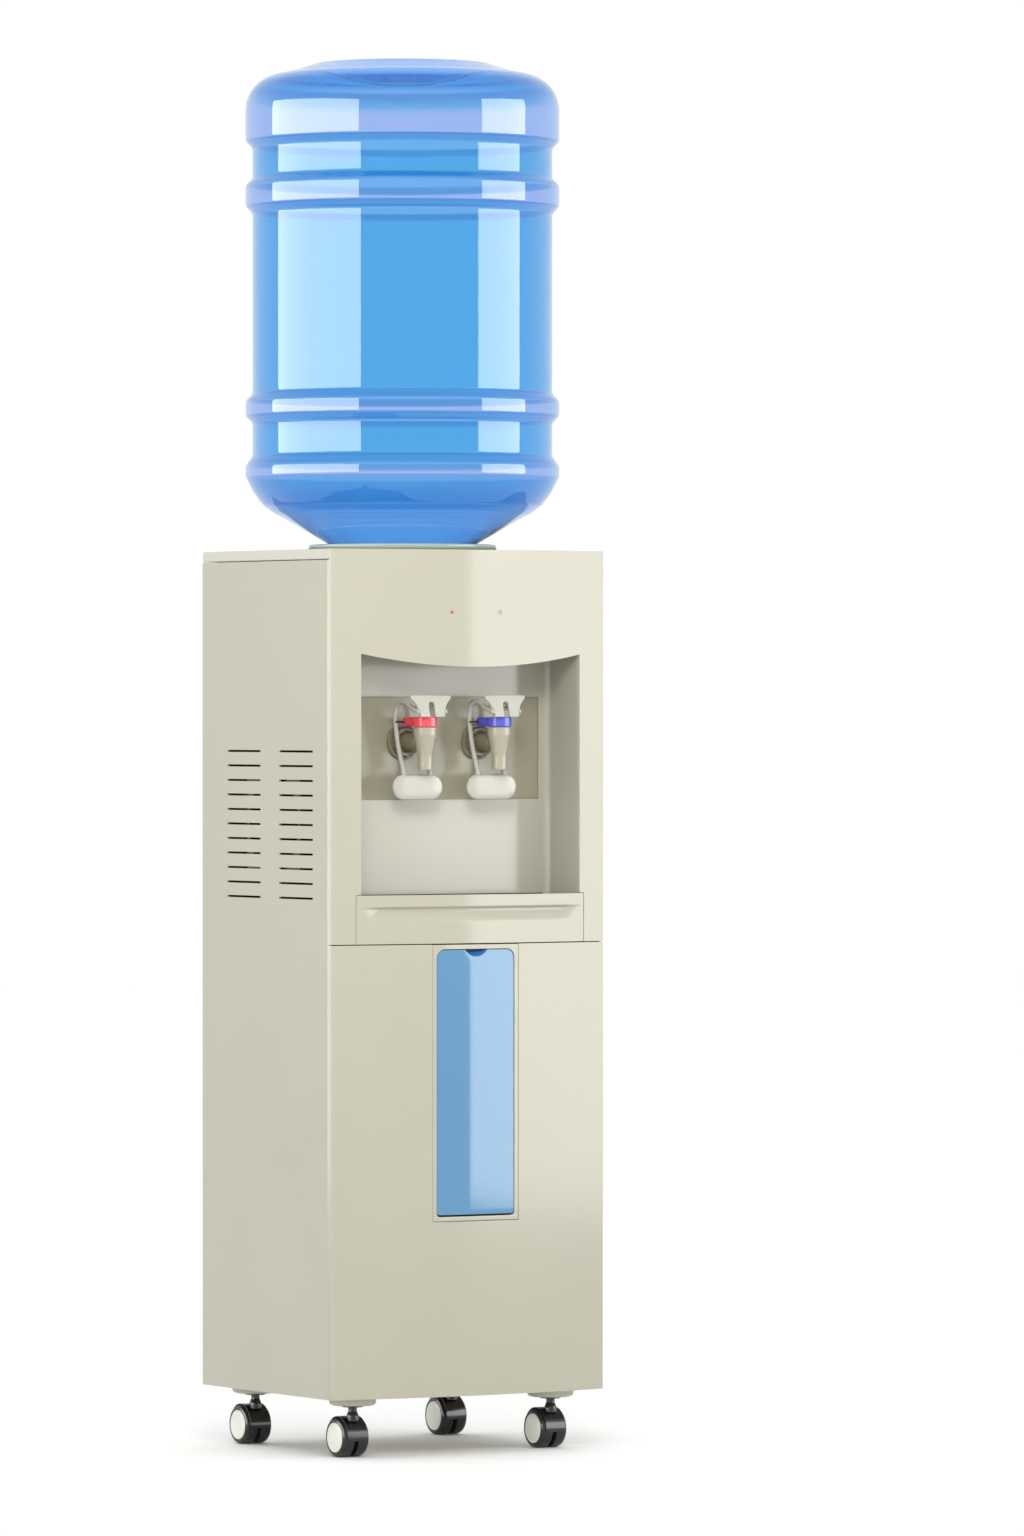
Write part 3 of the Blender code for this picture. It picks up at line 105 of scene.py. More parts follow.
def surface(name, colour, roughness, mottle=0.02, grain=0.05, grain_size=0.8, **fixed):
    """A material with a slow drift of colour, uneven gloss and a fine moulded or painted grain."""
    drift_size = 120
    gloss_size = 25
    material = bpy.data.materials.new(name)
    material.use_nodes = True
    nodes = material.node_tree.nodes
    links = material.node_tree.links
    shader = nodes["Principled BSDF"]
    for socket, value in fixed.items():
        shader.inputs[socket.replace("_", " ")].default_value = value
    place = nodes.new("ShaderNodeTexCoord").outputs["Object"]

    def noise(size, detail):
        texture = nodes.new("ShaderNodeTexNoise")
        texture.inputs["Scale"].default_value = 1000 / size
        texture.inputs["Detail"].default_value = detail
        links.new(place, texture.inputs["Vector"])
        return texture.outputs["Fac"]

    ramp = nodes.new("ShaderNodeValToRGB")
    for stop, shade in zip(ramp.color_ramp.elements, (1 - mottle, 1 + mottle)):
        stop.color = (*[min(1.0, c * shade) for c in colour], 1)
    ramp.color_ramp.elements[0].position = 0.3
    ramp.color_ramp.elements[1].position = 0.7
    links.new(noise(drift_size, 3), ramp.inputs["Fac"])
    links.new(ramp.outputs["Color"], shader.inputs["Base Color"])
    gloss = nodes.new("ShaderNodeMapRange")
    gloss.inputs["To Min"].default_value = max(0.0, roughness * 0.85)
    gloss.inputs["To Max"].default_value = roughness * 1.15
    links.new(noise(gloss_size, 4), gloss.inputs["Value"])
    links.new(gloss.outputs["Result"], shader.inputs["Roughness"])
    if grain:
        bump = nodes.new("ShaderNodeBump")
        bump.inputs["Strength"].default_value = grain
        bump.inputs["Distance"].default_value = 0.1 * MM
        links.new(noise(grain_size, 2), bump.inputs["Height"])
        links.new(bump.outputs["Normal"], shader.inputs["Normal"])
    return material


def tint_depth(material, colour, density):
    """Colour that deepens with the thickness of plastic that light passes through."""
    nodes = material.node_tree.nodes
    absorb = nodes.new("ShaderNodeVolumeAbsorption")
    absorb.inputs["Color"].default_value = (*colour, 1)
    absorb.inputs["Density"].default_value = density
    end = nodes["Material Output"]
    material.node_tree.links.new(absorb.outputs["Volume"], end.inputs["Volume"])


def paint_bottle_light(material):
    """Painted light and shade in the bottle's colour: the rib bands paler for the refraction seen through
    them, the bends beside them deeper blue as painted shade, and the cone and the base lighter as painted
    light.
    """
    nodes = material.node_tree.nodes
    links = material.node_tree.links
    shader = nodes["Principled BSDF"]
    body = shader.inputs["Base Color"].links[0].from_socket
    place = nodes.new("ShaderNodeSeparateXYZ")
    links.new(nodes["Texture Coordinate"].outputs["Object"], place.inputs["Vector"])
    flat = nodes.new("ShaderNodeCombineXYZ")
    links.new(place.outputs["X"], flat.inputs["X"])
    links.new(place.outputs["Y"], flat.inputs["Y"])
    radius = nodes.new("ShaderNodeVectorMath")
    radius.operation = "LENGTH"
    links.new(flat.outputs["Vector"], radius.inputs[0])
    lean = nodes.new("ShaderNodeSeparateXYZ")
    links.new(nodes.new("ShaderNodeNewGeometry").outputs["Normal"], lean.inputs["Vector"])
    slope = nodes.new("ShaderNodeMath")
    slope.operation = "ABSOLUTE"
    links.new(lean.outputs["Z"], slope.inputs[0])

    def mixed(value, low, high, under, over):
        part = nodes.new("ShaderNodeMapRange")
        part.inputs["From Min"].default_value = low
        part.inputs["From Max"].default_value = high
        links.new(value, part.inputs["Value"])
        mix = nodes.new("ShaderNodeMix")
        mix.data_type = "RGBA"
        links.new(part.outputs["Result"], mix.inputs["Factor"])
        links.new(under, mix.inputs["A"])
        mix.inputs["B"].default_value = (*over, 1)
        return mix.outputs["Result"]

    rib_radius = (134.0 * MM, 136.5 * MM)
    bend_slope = (0.25, 0.65)
    cone_slope = (0.74, 0.84)
    # Painted light: paler on the ribs; painted shade: deeper blue where the wall bends; painted light again
    # on the cone and the base.
    painted_rib_light = mixed(radius.outputs["Value"], *rib_radius, body, (0.86, 0.76, 0.93))
    painted_bend_shade = mixed(slope.outputs["Value"], *bend_slope, painted_rib_light, (0.12, 0.47, 0.78))
    cone = mixed(slope.outputs["Value"], *cone_slope, painted_bend_shade, (0.48, 0.68, 0.94))
    links.new(cone, shader.inputs["Base Color"])


IVORY = linear((178, 175, 158))
FINISHES = {
    "ivory_plastic": surface(
        "ivory_plastic", IVORY, 0.09, mottle=0.012, grain=0.03, Specular_IOR_Level=0.3
    ),
    "ivory_metal": surface("ivory_metal", IVORY, 0.12, grain=0.05, grain_size=1.6),
    "niche_beige": surface("niche_beige", linear((173, 170, 155)), 0.16),
    # The tap panel's darker tone is partly its own beige and partly painted shade for the darker band round
    # the taps.
    "panel_beige": surface("panel_beige", linear((148, 144, 124)), 0.22),
    "white_plastic": surface("white_plastic", linear((181, 179, 166)), 0.22, Subsurface_Weight=0.1),
    "red_plastic": surface("red_plastic", linear((236, 76, 88)), 0.2),
    "blue_plastic": surface("blue_plastic", linear((84, 88, 196)), 0.2),
    "green_plastic": surface("green_plastic", linear((40, 130, 70)), 0.25),
    "bottle_blue": surface(
        "bottle_blue", (0.27, 0.67, 0.88), 0.02, mottle=0.01, grain=0.02, grain_size=25,
        Transmission_Weight=1.0, IOR=1.6, Specular_IOR_Level=0.7,
    ),
    "black_plastic": surface("black_plastic", (0.012, 0.012, 0.013), 0.18),
    "dark_steel": surface("dark_steel", (0.045, 0.04, 0.03), 0.5),
    "steel": surface("steel", (0.55, 0.55, 0.54), 0.28, Metallic=1.0),
    "aluminium": surface("aluminium", (0.7, 0.7, 0.7), 0.35, Metallic=1.0),
    "board_green": surface("board_green", (0.02, 0.14, 0.06), 0.4),
    "silicone": surface("silicone", (0.75, 0.76, 0.74), 0.45, Subsurface_Weight=0.2),
}
tint_depth(FINISHES["bottle_blue"], (0.25, 0.74, 0.975), 350)
paint_bottle_light(FINISHES["bottle_blue"])
COVER_SATIN = surface(
    "cover_satin", linear((196, 194, 182)), 0.55, mottle=0.012, grain=0.06, Specular_IOR_Level=0.08
)
COLLAR_GREY = surface("collar_grey", linear((176, 188, 176)), 0.14)
HUB_GREY = surface("hub_grey", linear((230, 231, 222)), 0.25)
DOOR_BLUE = surface(
    "door_blue", (0.16, 0.4, 0.66), 0.05, grain=0.02, grain_size=12, Transmission_Weight=0.4
)
# The finger cup's darker, less clear blue is painted shade for its recess.
DOOR_SHADED = surface(
    "door_painted_shade", (0.02, 0.2, 0.55), 0.08, grain=0.02, grain_size=12, Transmission_Weight=0.2
)
TAP_GREY = surface("tap_grey", linear((164, 159, 140)), 0.28)
# The inlets' dark brown is partly their own colour and partly painted shade, to sit in the darker band
# round the taps.
INLET_SHADED = surface("inlet_shaded_brown", linear((126, 119, 96)), 0.35)
# Painted shade: a dark sheet put behind gaps, where there is only shadow.
PAINTED_SHADE = surface("painted_shade", linear((30, 29, 24)), 0.8)
SCREW_STEEL = surface("screw_steel", (0.45, 0.45, 0.44), 0.32, Metallic=1.0)
LAMP_RED = surface("lamp_red", linear((176, 52, 56)), 0.2)
LAMP_BLUE = surface("lamp_blue", linear((132, 164, 196)), 0.2)

# The slot of each CAD node that stays as it is, by the start of its name.
SLOT_OF = (
    ("top_cover", "ivory_plastic"), ("side_panel", "ivory_metal"), ("back_panel", "ivory_metal"),
    ("base_pan", "ivory_metal"), ("drip_grille", "niche_beige"), ("tap_panel", "panel_beige"),
    ("tap_nut", "white_plastic"), ("cup_bin", "white_plastic"), ("reservoir", "white_plastic"),
    ("drain_plug", "white_plastic"), ("switch_hot", "red_plastic"), ("switch_cold", "green_plastic"),
    ("switch_bezel", "black_plastic"), ("cord_gland", "black_plastic"), ("fan_", "black_plastic"),
    ("tap_stem", "dark_steel"), ("hot_tank", "steel"), ("heat_sink", "aluminium"),
    ("power_board", "board_green"), ("tube_", "silicone"),
)


# ---------------------------------------------------------------- mesh tools


def closed(points, faces):
    """A bmesh from points in millimetres and their faces, with normals outwards."""
    shape = bmesh.new()
    corners = [shape.verts.new(Vector(point) * MM) for point in points]
    for face in faces:
        ring = [corners[i] for i in dict.fromkeys(face)]
        if len(ring) > 2:
            shape.faces.new(ring)
    loose = [v for v in shape.verts if not v.link_faces]
    bmesh.ops.delete(shape, geom=loose, context="VERTS")
    bmesh.ops.remove_doubles(shape, verts=shape.verts, dist=1e-7)
    bmesh.ops.recalc_face_normals(shape, faces=shape.faces)
    return shape


def make_piece(name, shapes, slot, body, *nodes, finish=None, bevel=0.0, angle=40, segments=3):
    """One piece from closed shapes: bevelled, smooth, riding on its body in place of its CAD nodes."""
    whole = bmesh.new()
    for shape in shapes:
        part = bpy.data.meshes.new("part")
        shape.to_mesh(part)
        shape.free()
        whole.from_mesh(part)
        bpy.data.meshes.remove(part)
    mesh = bpy.data.meshes.new(name)
    whole.to_mesh(mesh)
    whole.free()
    for face in mesh.polygons:
        face.use_smooth = True
    obj = bpy.data.objects.new(name, mesh)
    bpy.context.scene.collection.objects.link(obj)
    mesh.materials.append(finish or FINISHES[slot])
    if bevel:
        add_bevel(obj, bevel, angle, segments)
    obj.modifiers.new("normals", "WEIGHTED_NORMAL").keep_sharp = True
    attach(obj, body)
    if nodes:
        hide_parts(*nodes)
    return obj


def add_bevel(obj, width, angle, segments):
    bevel = obj.modifiers.new("edges", "BEVEL")
    bevel.width = width * MM
    bevel.segments = segments
    bevel.limit_method = "ANGLE"
    bevel.angle_limit = math.radians(angle)


def joined_rings(count, rings, is_loop=False):
    """Faces between each ring of count points and the next, and from the last to the first in a loop."""
    faces = []
    for r in range(rings if is_loop else rings - 1):
        for k in range(count):
            m, s = (k + 1) % count, (r + 1) % rings
            faces.append([r * count + k, r * count + m, s * count + m, s * count + k])
    return faces


def grid_sheet(columns, rows, near, far, is_open=lambda i, j: False):
    """A closed sheet on a grid of columns and rows, with its open cells left out."""
    count = len(rows)
    points = [near(c, r) for c in columns for r in rows] + [far(c, r) for c in columns for r in rows]
    offset = len(columns) * count
    cells = {(i, j) for i in range(len(columns) - 1) for j in range(count - 1) if not is_open(i, j)}
    faces = []
    for i, j in cells:
        ring = [i * count + j, (i + 1) * count + j, (i + 1) * count + j + 1, i * count + j + 1]
        faces.append(ring)
        faces.append([k + offset for k in reversed(ring)])
        beside = ((i, j - 1), (i + 1, j), (i, j + 1), (i - 1, j))
        for k, cell in enumerate(beside):
            if cell not in cells:
                a, b = ring[k], ring[(k + 1) % 4]
                faces.append([b, a, a + offset, b + offset])
    return closed(points, sorted(faces))


def lines(low, high, step, *stops):
    """Grid lines from low to high, about step apart, that pass through the stops."""
    marks = sorted({low, high, *[s for s in stops if low < s < high]})
    result = [low]
    for a, b in zip(marks, marks[1:]):
        count = max(1, round((b - a) / step))
        result += [a + (b - a) * i / count for i in range(1, count + 1)]
    return result


def rounded(profile, radius):
    """The profile with its corners rounded by short curves."""
    points = [Vector((*p, 0)).to_2d() for p in profile]
    result = [points[0]]
    for a, b, c in zip(points, points[1:], points[2:]):
        reach = min(radius, (a - b).length * 0.45, (c - b).length * 0.45)
        start = b + (a - b).normalized() * reach
        end = b + (c - b).normalized() * reach
        for i in range(5):
            t = i / 4
            result.append(start * (1 - t) ** 2 + b * 2 * t * (1 - t) + end * t**2)
    return [tuple(p) for p in [*result, points[-1]]]


def turned(profile, steps, centre=(0.0, 0.0, 0.0), along="Z"):
    """A closed profile of (radius, height) turned round an axis through the centre."""
    order = {"X": (2, 0, 1), "Y": (0, 2, 1), "Z": (0, 1, 2)}[along]
    points = []
    for r, h in profile:
        for k in range(steps):
            turn = math.tau * k / steps
            flat = (r * math.cos(turn), r * math.sin(turn), h)
            points.append([centre[axis] + flat[order[axis]] for axis in range(3)])
    faces = []
    count = len(profile)
    for i in range(count):
        j = (i + 1) % count
        if profile[i][0] == 0 and profile[j][0] == 0:
            continue
        for k in range(steps):
            m = (k + 1) % steps
            faces.append([i * steps + k, i * steps + m, j * steps + m, j * steps + k])
    shape = bmesh.new()
    corners = [shape.verts.new(Vector(p) * MM) for p in points]
    for face in faces:
        shape.faces.new([corners[i] for i in face])
    bmesh.ops.remove_doubles(shape, verts=shape.verts, dist=1e-6)
    bmesh.ops.dissolve_degenerate(shape, dist=1e-7, edges=shape.edges)
    bmesh.ops.recalc_face_normals(shape, faces=shape.faces)
    return shape


def prism(outline, low, high, along="Z"):
    """A closed outline drawn out along an axis."""
    place = {
        "X": lambda a, b, h: (h, a, b), "Y": lambda a, b, h: (a, h, b), "Z": lambda a, b, h: (a, b, h)
    }[along]
    count = len(outline)
    points = [place(a, b, h) for h in (low, high) for a, b in outline]
    faces = [list(range(count)), [k + count for k in range(count)]]
    faces += [[k, (k + 1) % count, (k + 1) % count + count, k + count] for k in range(count)]
    return closed(points, faces)


def arc(centre, radius, start, end, count):
    turns = [math.radians(start + (end - start) * i / count) for i in range(count + 1)]
    return [(centre[0] + radius * math.cos(t), centre[1] + radius * math.sin(t)) for t in turns]


def swept(stations, radius, sides=14, pieces=6):
    """A round rod with round ends along a smooth curve through the stations."""
    points = [Vector(p) for p in stations]
    ends = [points[0] * 2 - points[1], *points, points[-1] * 2 - points[-2]]
    path = []
    for a, b, c, d in zip(ends, ends[1:], ends[2:], ends[3:]):
        for i in range(pieces):
            t = i / pieces
            square = (2 * a - 5 * b + 4 * c - d) * t**2
            cube = (3 * b - a - 3 * c + d) * t**3
            path.append((0.5 * (2 * b + (c - a) * t + square + cube), radius))
    path.append((points[-1], radius))
    tip = (path[-1][0] - path[-2][0]).normalized()
    tail = (path[0][0] - path[1][0]).normalized()
    caps = [(math.sin(math.radians(a)), math.cos(math.radians(a))) for a in (30, 60, 80)]
    path += [(points[-1] + tip * radius * s, radius * c) for s, c in caps]
    path = [(points[0] + tail * radius * s, radius * c) for s, c in reversed(caps)] + path
    rings, side = [], None
    for i, (point, size) in enumerate(path):
        ahead = (path[min(i + 1, len(path) - 1)][0] - path[max(i - 1, 0)][0]).normalized()
        side = side or ahead.orthogonal().normalized()
        side = (side - ahead * side.dot(ahead)).normalized()
        up = ahead.cross(side)
        turns = [math.tau * j / sides for j in range(sides)]
        rings.append([point + size * (side * math.cos(t) + up * math.sin(t)) for t in turns])
    faces = [list(range(sides)), [(len(rings) - 1) * sides + j for j in range(sides)]]
    faces += joined_rings(sides, len(rings))
    return closed([p for ring in rings for p in ring], faces)


# ---------------------------------------------------------------- cabinet

CORNER_SHARES = [1 - math.sin(math.radians(a)) for a in range(0, 90, 15)]
CORNER_LINES = [s * (HALF - CORNER * share) for s in (-1, 1) for share in CORNER_SHARES]
SEAM_BEVEL = 0.3
LOUVRE_ROWS = 11
LOUVRE_PITCH = 12.65
LOUVRE_DROP = 174.0
LOUVRE_HALF_HEIGHT = 0.9
LOUVRE_HALF_LENGTH = 29.25
LOUVRE_Y = (-52.5, 38.5)


def make_fascia():
    """The upper front, open for the niche under an arch and for the tray below it."""
    slot_half = TRAY_HIGH.x + 0.5
    step = TRAY_HIGH.z + 0.5
    columns = lines(-HALF, HALF, 5.0, -slot_half, slot_half, -NICHE_HALF, NICHE_HALF, *CORNER_LINES)
    rows = (0, 1, 2, 3)

    def level(x, row):
        part = min(1.0, abs(x) / NICHE_HALF)
        arch = NICHE_TOP_Z - NICHE_SAG * (1 - part**2)
        return (SEAM_Z, step, arch, TOP_Z)[row]

    def is_open(i, j):
        middle = abs(columns[i] + columns[i + 1]) / 2
        return (j == 0 and middle < slot_half) or (j == 1 and middle < NICHE_HALF)

    shape = grid_sheet(
        columns, rows,
        lambda x, row: (x, skin_y(x), level(x, row)),
        lambda x, row: (x, front_y(x, SKIN), level(x, row)),
        is_open,
    )
    make_piece("fascia_skin", [shape], "ivory_plastic", "cabinet", "front_fascia", bevel=SEAM_BEVEL)


def make_lower_front():
    """The lower front, open for the window's bezel."""
    low, high = span("lower_front_panel")
    hole = FRAME_HIGH.x + GAP
    foot = FRAME_LOW.z - GAP
    columns = lines(-HALF, HALF, 5.0, -hole, hole, *CORNER_LINES)
    rows = [low.z, foot, high.z]
    shape = grid_sheet(
        columns, rows,
        lambda x, z: (x, skin_y(x), z),
        lambda x, z: (x, front_y(x, SKIN), z),
        lambda i, j: j == 1 and abs(columns[i] + columns[i + 1]) / 2 < hole,
    )
    make_piece(
        "lower_front_skin", [shape], "ivory_plastic", "cabinet", "lower_front_panel", bevel=SEAM_BEVEL
    )


def make_side_panels():
    """Sheet metal with two columns of slots and a rounded front edge."""
    rows_of_slots = [TOP_Z - LOUVRE_DROP - LOUVRE_PITCH * row for row in range(LOUVRE_ROWS)]
    slot_z = [z + s * LOUVRE_HALF_HEIGHT for z in rows_of_slots for s in (-1, 1)]
    slot_y = [y + s * LOUVRE_HALF_LENGTH for y in LOUVRE_Y for s in (-1, 1)]
    one_cell = 500
    same = 0.01
    for side, word in ((-1, "left"), (1, "right")):
        node = f"side_panel_{word}"
        low, high = span(node)
        outer, inner = (low.x, high.x) if side < 0 else (high.x, low.x)
        edge = 0.8 * (high.x - low.x)
        round_y = [low.y + edge * share for share in CORNER_SHARES]

        def outside(y):
            depth = min(edge, max(0.0, low.y + edge - y))
            return outer - side * (edge - math.sqrt(edge**2 - depth**2))

        columns = lines(low.y, high.y, one_cell, *slot_y, *round_y)
        rows = lines(low.z, high.z, one_cell, *slot_z)
        slot_columns = {i for i, y in enumerate(columns) if any(abs(y - s) < same for s in slot_y[::2])}
        slot_rows = {j for j, z in enumerate(rows) if any(abs(z - s) < same for s in slot_z[::2])}
        shape = grid_sheet(
            columns, rows,
            lambda y, z: (outside(y), y, z),
            lambda y, z: (inner, y, z),
            lambda i, j: i in slot_columns and j in slot_rows,
        )
        make_piece(f"side_skin_{word}", [shape], "ivory_metal", "cabinet", node, bevel=0.2)


def make_liner():
    """The niche's walls bend into its back in two upright fillets."""
    fillet = 5.0
    wall = 2.0
    low_z = span("niche_liner")[0].z
    step_z = TRAY_HIGH.z + 0.5
    lap = 4.0
    panel_low, panel_high = span("tap_panel")
    open_half = panel_high.x - lap
    tray_depth = 5.8
    front = front_y(NICHE_HALF, SKIN + GAP)
    kept = front_y(NICHE_HALF, tray_depth) + 0.1
    corner = (NICHE_HALF - fillet, NICHE_BACK_Y - fillet)
    bend = arc(corner, fillet, 0, 90, 8)
    outer_bend = arc(corner, fillet + wall, 0, 90, 8)
    right = [(NICHE_HALF, front), (NICHE_HALF, kept), *bend, (open_half, NICHE_BACK_Y)]
    outside = [(NICHE_HALF + wall, front), (NICHE_HALF + wall, kept), *outer_bend]
    outside.append((open_half, NICHE_BACK_Y + wall))
    inner_line = [*right, *[(-x, y) for x, y in reversed(right)]]
    outer_line = [*outside, *[(-x, y) for x, y in reversed(outside)]]
    last = len(inner_line) - 2
    middle = len(right) - 1
    roof = NICHE_TOP_Z + 2.0
    rows = [low_z, step_z, panel_low.z + lap, panel_high.z - lap, roof + wall]
    shape = grid_sheet(
        list(range(len(inner_line))), rows,
        lambda i, z: (*inner_line[i], z),
        lambda i, z: (*outer_line[i], z),
        lambda i, j: (i in (0, last) and j == 0) or (i == middle and j == 2),
    )
    xs = lines(-NICHE_HALF, NICHE_HALF, 10)
    slabs = [shape]
    for low, high, inset in ((roof, roof + wall, SKIN + GAP), (low_z, low_z + wall, 6.2)):
        near = [(x, front_y(x, inset)) for x in xs]
        slabs.append(prism([*near, (NICHE_HALF, NICHE_BACK_Y), (-NICHE_HALF, NICHE_BACK_Y)], low, high))
    make_piece("niche_shell", slabs, "niche_beige", "cabinet", "niche_liner", bevel=0.4)


def make_tray():
    """A bowed drawer front with a lipped top and a scooped finger pull, and its pan."""
    half = TRAY_HIGH.x
    low, high = TRAY_LOW.z, TRAY_HIGH.z
    lip = high - 9.6
    trough = lip - 2.6
    foot = trough - 12.0
    depth = 4.2
    reach = half - 4.0
    fade = 22.0
    columns = lines(-half, half, 4.0, -reach, reach)
    rows = [low, low + 6, *[foot + (trough - foot) * i / 10 for i in range(11)]]
    rows += [trough + (lip - trough) * i / 8 for i in range(1, 9)] + [high - 4, high]

    def smooth(t):
        t = max(0.0, min(1.0, t))
        return t * t * (3 - 2 * t)

    def inset(x, z):
        across = (lip - z) / (lip - trough) if z > trough else (z - foot) / (trough - foot)
        return depth * smooth(across) * smooth((reach - abs(x)) / fade)

    front = grid_sheet(
        columns, rows,
        lambda x, z: (x, front_y(x, inset(x, z)), z),
        lambda x, z: (x, front_y(x, 5.0), z),
    )
    pan_half = half - 9.2
    rim = high - 4.5
    floor = low + 2.3
    back = TRAY_HIGH.y
    xs = lines(-pan_half, pan_half, 8)
    outer = [(x, front_y(x, 4.9)) for x in xs] + [(pan_half, back), (-pan_half, back)]
    wall = 2
    small = (pan_half - wall) / pan_half
    inner = [(x * small, front_y(x * small, 6.5)) for x in xs]
    inner += [(pan_half - wall, back - wall), (-pan_half + wall, back - wall)]
    count = len(outer)
    rings = [(outer, floor), (outer, rim), (inner, rim), (inner, floor + wall)]
    points = [(*p, z) for ring, z in rings for p in ring]
    faces = [list(range(count)), [3 * count + k for k in range(count)]]
    pan = closed(points, faces + joined_rings(count, len(rings)))
    make_piece("tray_drawer", [front, pan], "ivory_plastic", "tray", "drip_tray", bevel=SEAM_BEVEL)


def make_shade_strips():
    """Dark strips of painted shade behind the front's seams, and one of painted shadow along the foot of
    the niche's back wall, where the tray's lip shades it.
    """

    def strip(xs, near_inset, far_inset, low, high):
        near = [(x, front_y(x, near_inset)) for x in xs]
        far = [(x, front_y(x, far_inset)) for x in reversed(xs)]
        return prism(near + far, low, high)

    strips = [strip(lines(-HALF + 4, HALF - 4, 6), 2.55, 4.5, SEAM_Z - 4.5, SEAM_Z - 0.2)]
    seam_x = TRAY_HIGH.x + 0.3
    for side in (-1, 1):
        xs = [side * (seam_x + 0.6 * k - 0.9) for k in range(6)]
        strips.append(strip(xs, 5.15, 5.75, SEAM_Z + 0.1, TRAY_HIGH.z + 1.5))
    # A painted shadow along the foot of the niche's back wall, behind the tray's lip.
    foot_half = NICHE_HALF - 6
    near_y, far_y = NICHE_BACK_Y - 0.25, NICHE_BACK_Y + 0.5
    foot = [(-foot_half, near_y), (foot_half, near_y), (foot_half, far_y), (-foot_half, far_y)]
    strips.append(prism(foot, TRAY_HIGH.z - 3.0, TRAY_HIGH.z - 0.5))
    make_piece("front_shade_strips", strips, "black_plastic", "cabinet", finish=PAINTED_SHADE)


def make_lamps():
    """Two small domed lenses, each in a thin ring."""
    for word, finish in (("hot", LAMP_RED), ("cold", LAMP_BLUE)):
        slot = "red_plastic" if word == "hot" else "blue_plastic"
        low, high = span(f"lamp_{word}")
        x, z = (low.x + high.x) / 2, (low.z + high.z) / 2
        face = front_y(x)
        lens = [(0, face - 0.4), (1.0, face - 0.3), (1.5, face + 0.1), (1.6, face + 8), (0, face + 8)]
        make_piece(f"lamp_lens_{word}", [turned(rounded(lens, 0.4), 32, (x, 0, z), "Y")],
                   slot, "cabinet", f"lamp_{word}", finish=finish)
        ring = [(1.7, face - 0.15), (2.2, face - 0.15), (2.4, face + 0.1), (2.4, face + 1), (1.7, face + 1)]
        make_piece(f"lamp_ring_{word}", [turned(ring, 32, (x, 0, z), "Y")], "ivory_plastic", "cabinet")


# ---------------------------------------------------------------- cup door

BEZEL_HALF = FRAME_HIGH.x
BEZEL_BORDER = 4.0
OPEN_HALF = BEZEL_HALF - BEZEL_BORDER
OPEN_LOW, OPEN_HIGH = FRAME_LOW.z + BEZEL_BORDER, FRAME_HIGH.z - BEZEL_BORDER
FOOT_RADIUS = 3.0
HEAD_RADIUS = 8.0
NOTCH_RADIUS = 13.0
NOTCH_HALF = 10.9
NOTCH_Z = DOOR_HIGH.z + 7.0


def window_level(x, half, low, high, foot_radius, head_radius):
    """The lowest and highest point of a window with rounded corners, at x."""
    def corner(radius):
        past = max(0.0, abs(x) - (half - radius))
        return radius - math.sqrt(max(0.0, radius**2 - past**2))
    return low + corner(foot_radius), high - corner(head_radius)


def opening_outline():
    """The window's opening in the bezel, round from the right of its top."""
    outline = []
    for centre, radius, start in (
        ((OPEN_HALF - HEAD_RADIUS, OPEN_HIGH - HEAD_RADIUS), HEAD_RADIUS, 0),
        ((-OPEN_HALF + HEAD_RADIUS, OPEN_HIGH - HEAD_RADIUS), HEAD_RADIUS, 90),
        ((-OPEN_HALF + FOOT_RADIUS, OPEN_LOW + FOOT_RADIUS), FOOT_RADIUS, 180),
        ((OPEN_HALF - FOOT_RADIUS, OPEN_LOW + FOOT_RADIUS), FOOT_RADIUS, 270),
    ):
        outline += arc(centre, radius, start, start + 90, 6)
    return outline


def bezel_outline():
    """The bezel's square outline, point for point beside its opening's."""
    outline = []
    for quarter, (side, is_top) in enumerate(((1, True), (-1, True), (-1, False), (1, False))):
        radius = HEAD_RADIUS if is_top else FOOT_RADIUS
        edge_z = FRAME_HIGH.z if is_top else FRAME_LOW.z
        bend_z = OPEN_HIGH - radius if is_top else OPEN_LOW + radius
        upright = [(side * BEZEL_HALF, bend_z + (edge_z - bend_z) * k / 3) for k in range(4)]
        level = [(side * (BEZEL_HALF - (BEZEL_BORDER + radius) * k / 3), edge_z) for k in range(1, 4)]
        corner = upright + level
        outline += corner if quarter in (0, 2) else corner[::-1]
    return outline


def bowed_ring(loops):
    """A closed ring through loops of (x, z), each at its own depth behind the front."""
    points = [(x, front_y(x, inset), z) for loop, inset in loops for x, z in loop]
    return closed(points, joined_rings(len(loops[0][0]), len(loops), is_loop=True))


def make_bezel():
    outer, opening = bezel_outline(), opening_outline()
    depth = 6.0
    shape = bowed_ring([(outer, 0.0), (opening, 0.0), (opening, depth), (outer, depth)])
    make_piece("window_bezel", [shape], "ivory_plastic", "cabinet", "door_frame", bevel=0.5)


def make_shade_ring():
    """A dark ring of painted shade inside the opening, behind the edge of the glass, for the shadowed gap
    round it.
    """
    near, far, lap = 3.6, 5.4, 1.4
    middle_z = (OPEN_LOW + OPEN_HIGH) / 2
    opening = opening_outline()
    pulled = [(x * (1 - lap / OPEN_HALF), z + (lap if z < middle_z else -lap)) for x, z in opening]
    shape = bowed_ring([(opening, near), (pulled, near), (pulled, far), (opening, far)])
    make_piece("window_shade_ring", [shape], "black_plastic", "cabinet", finish=PAINTED_SHADE)


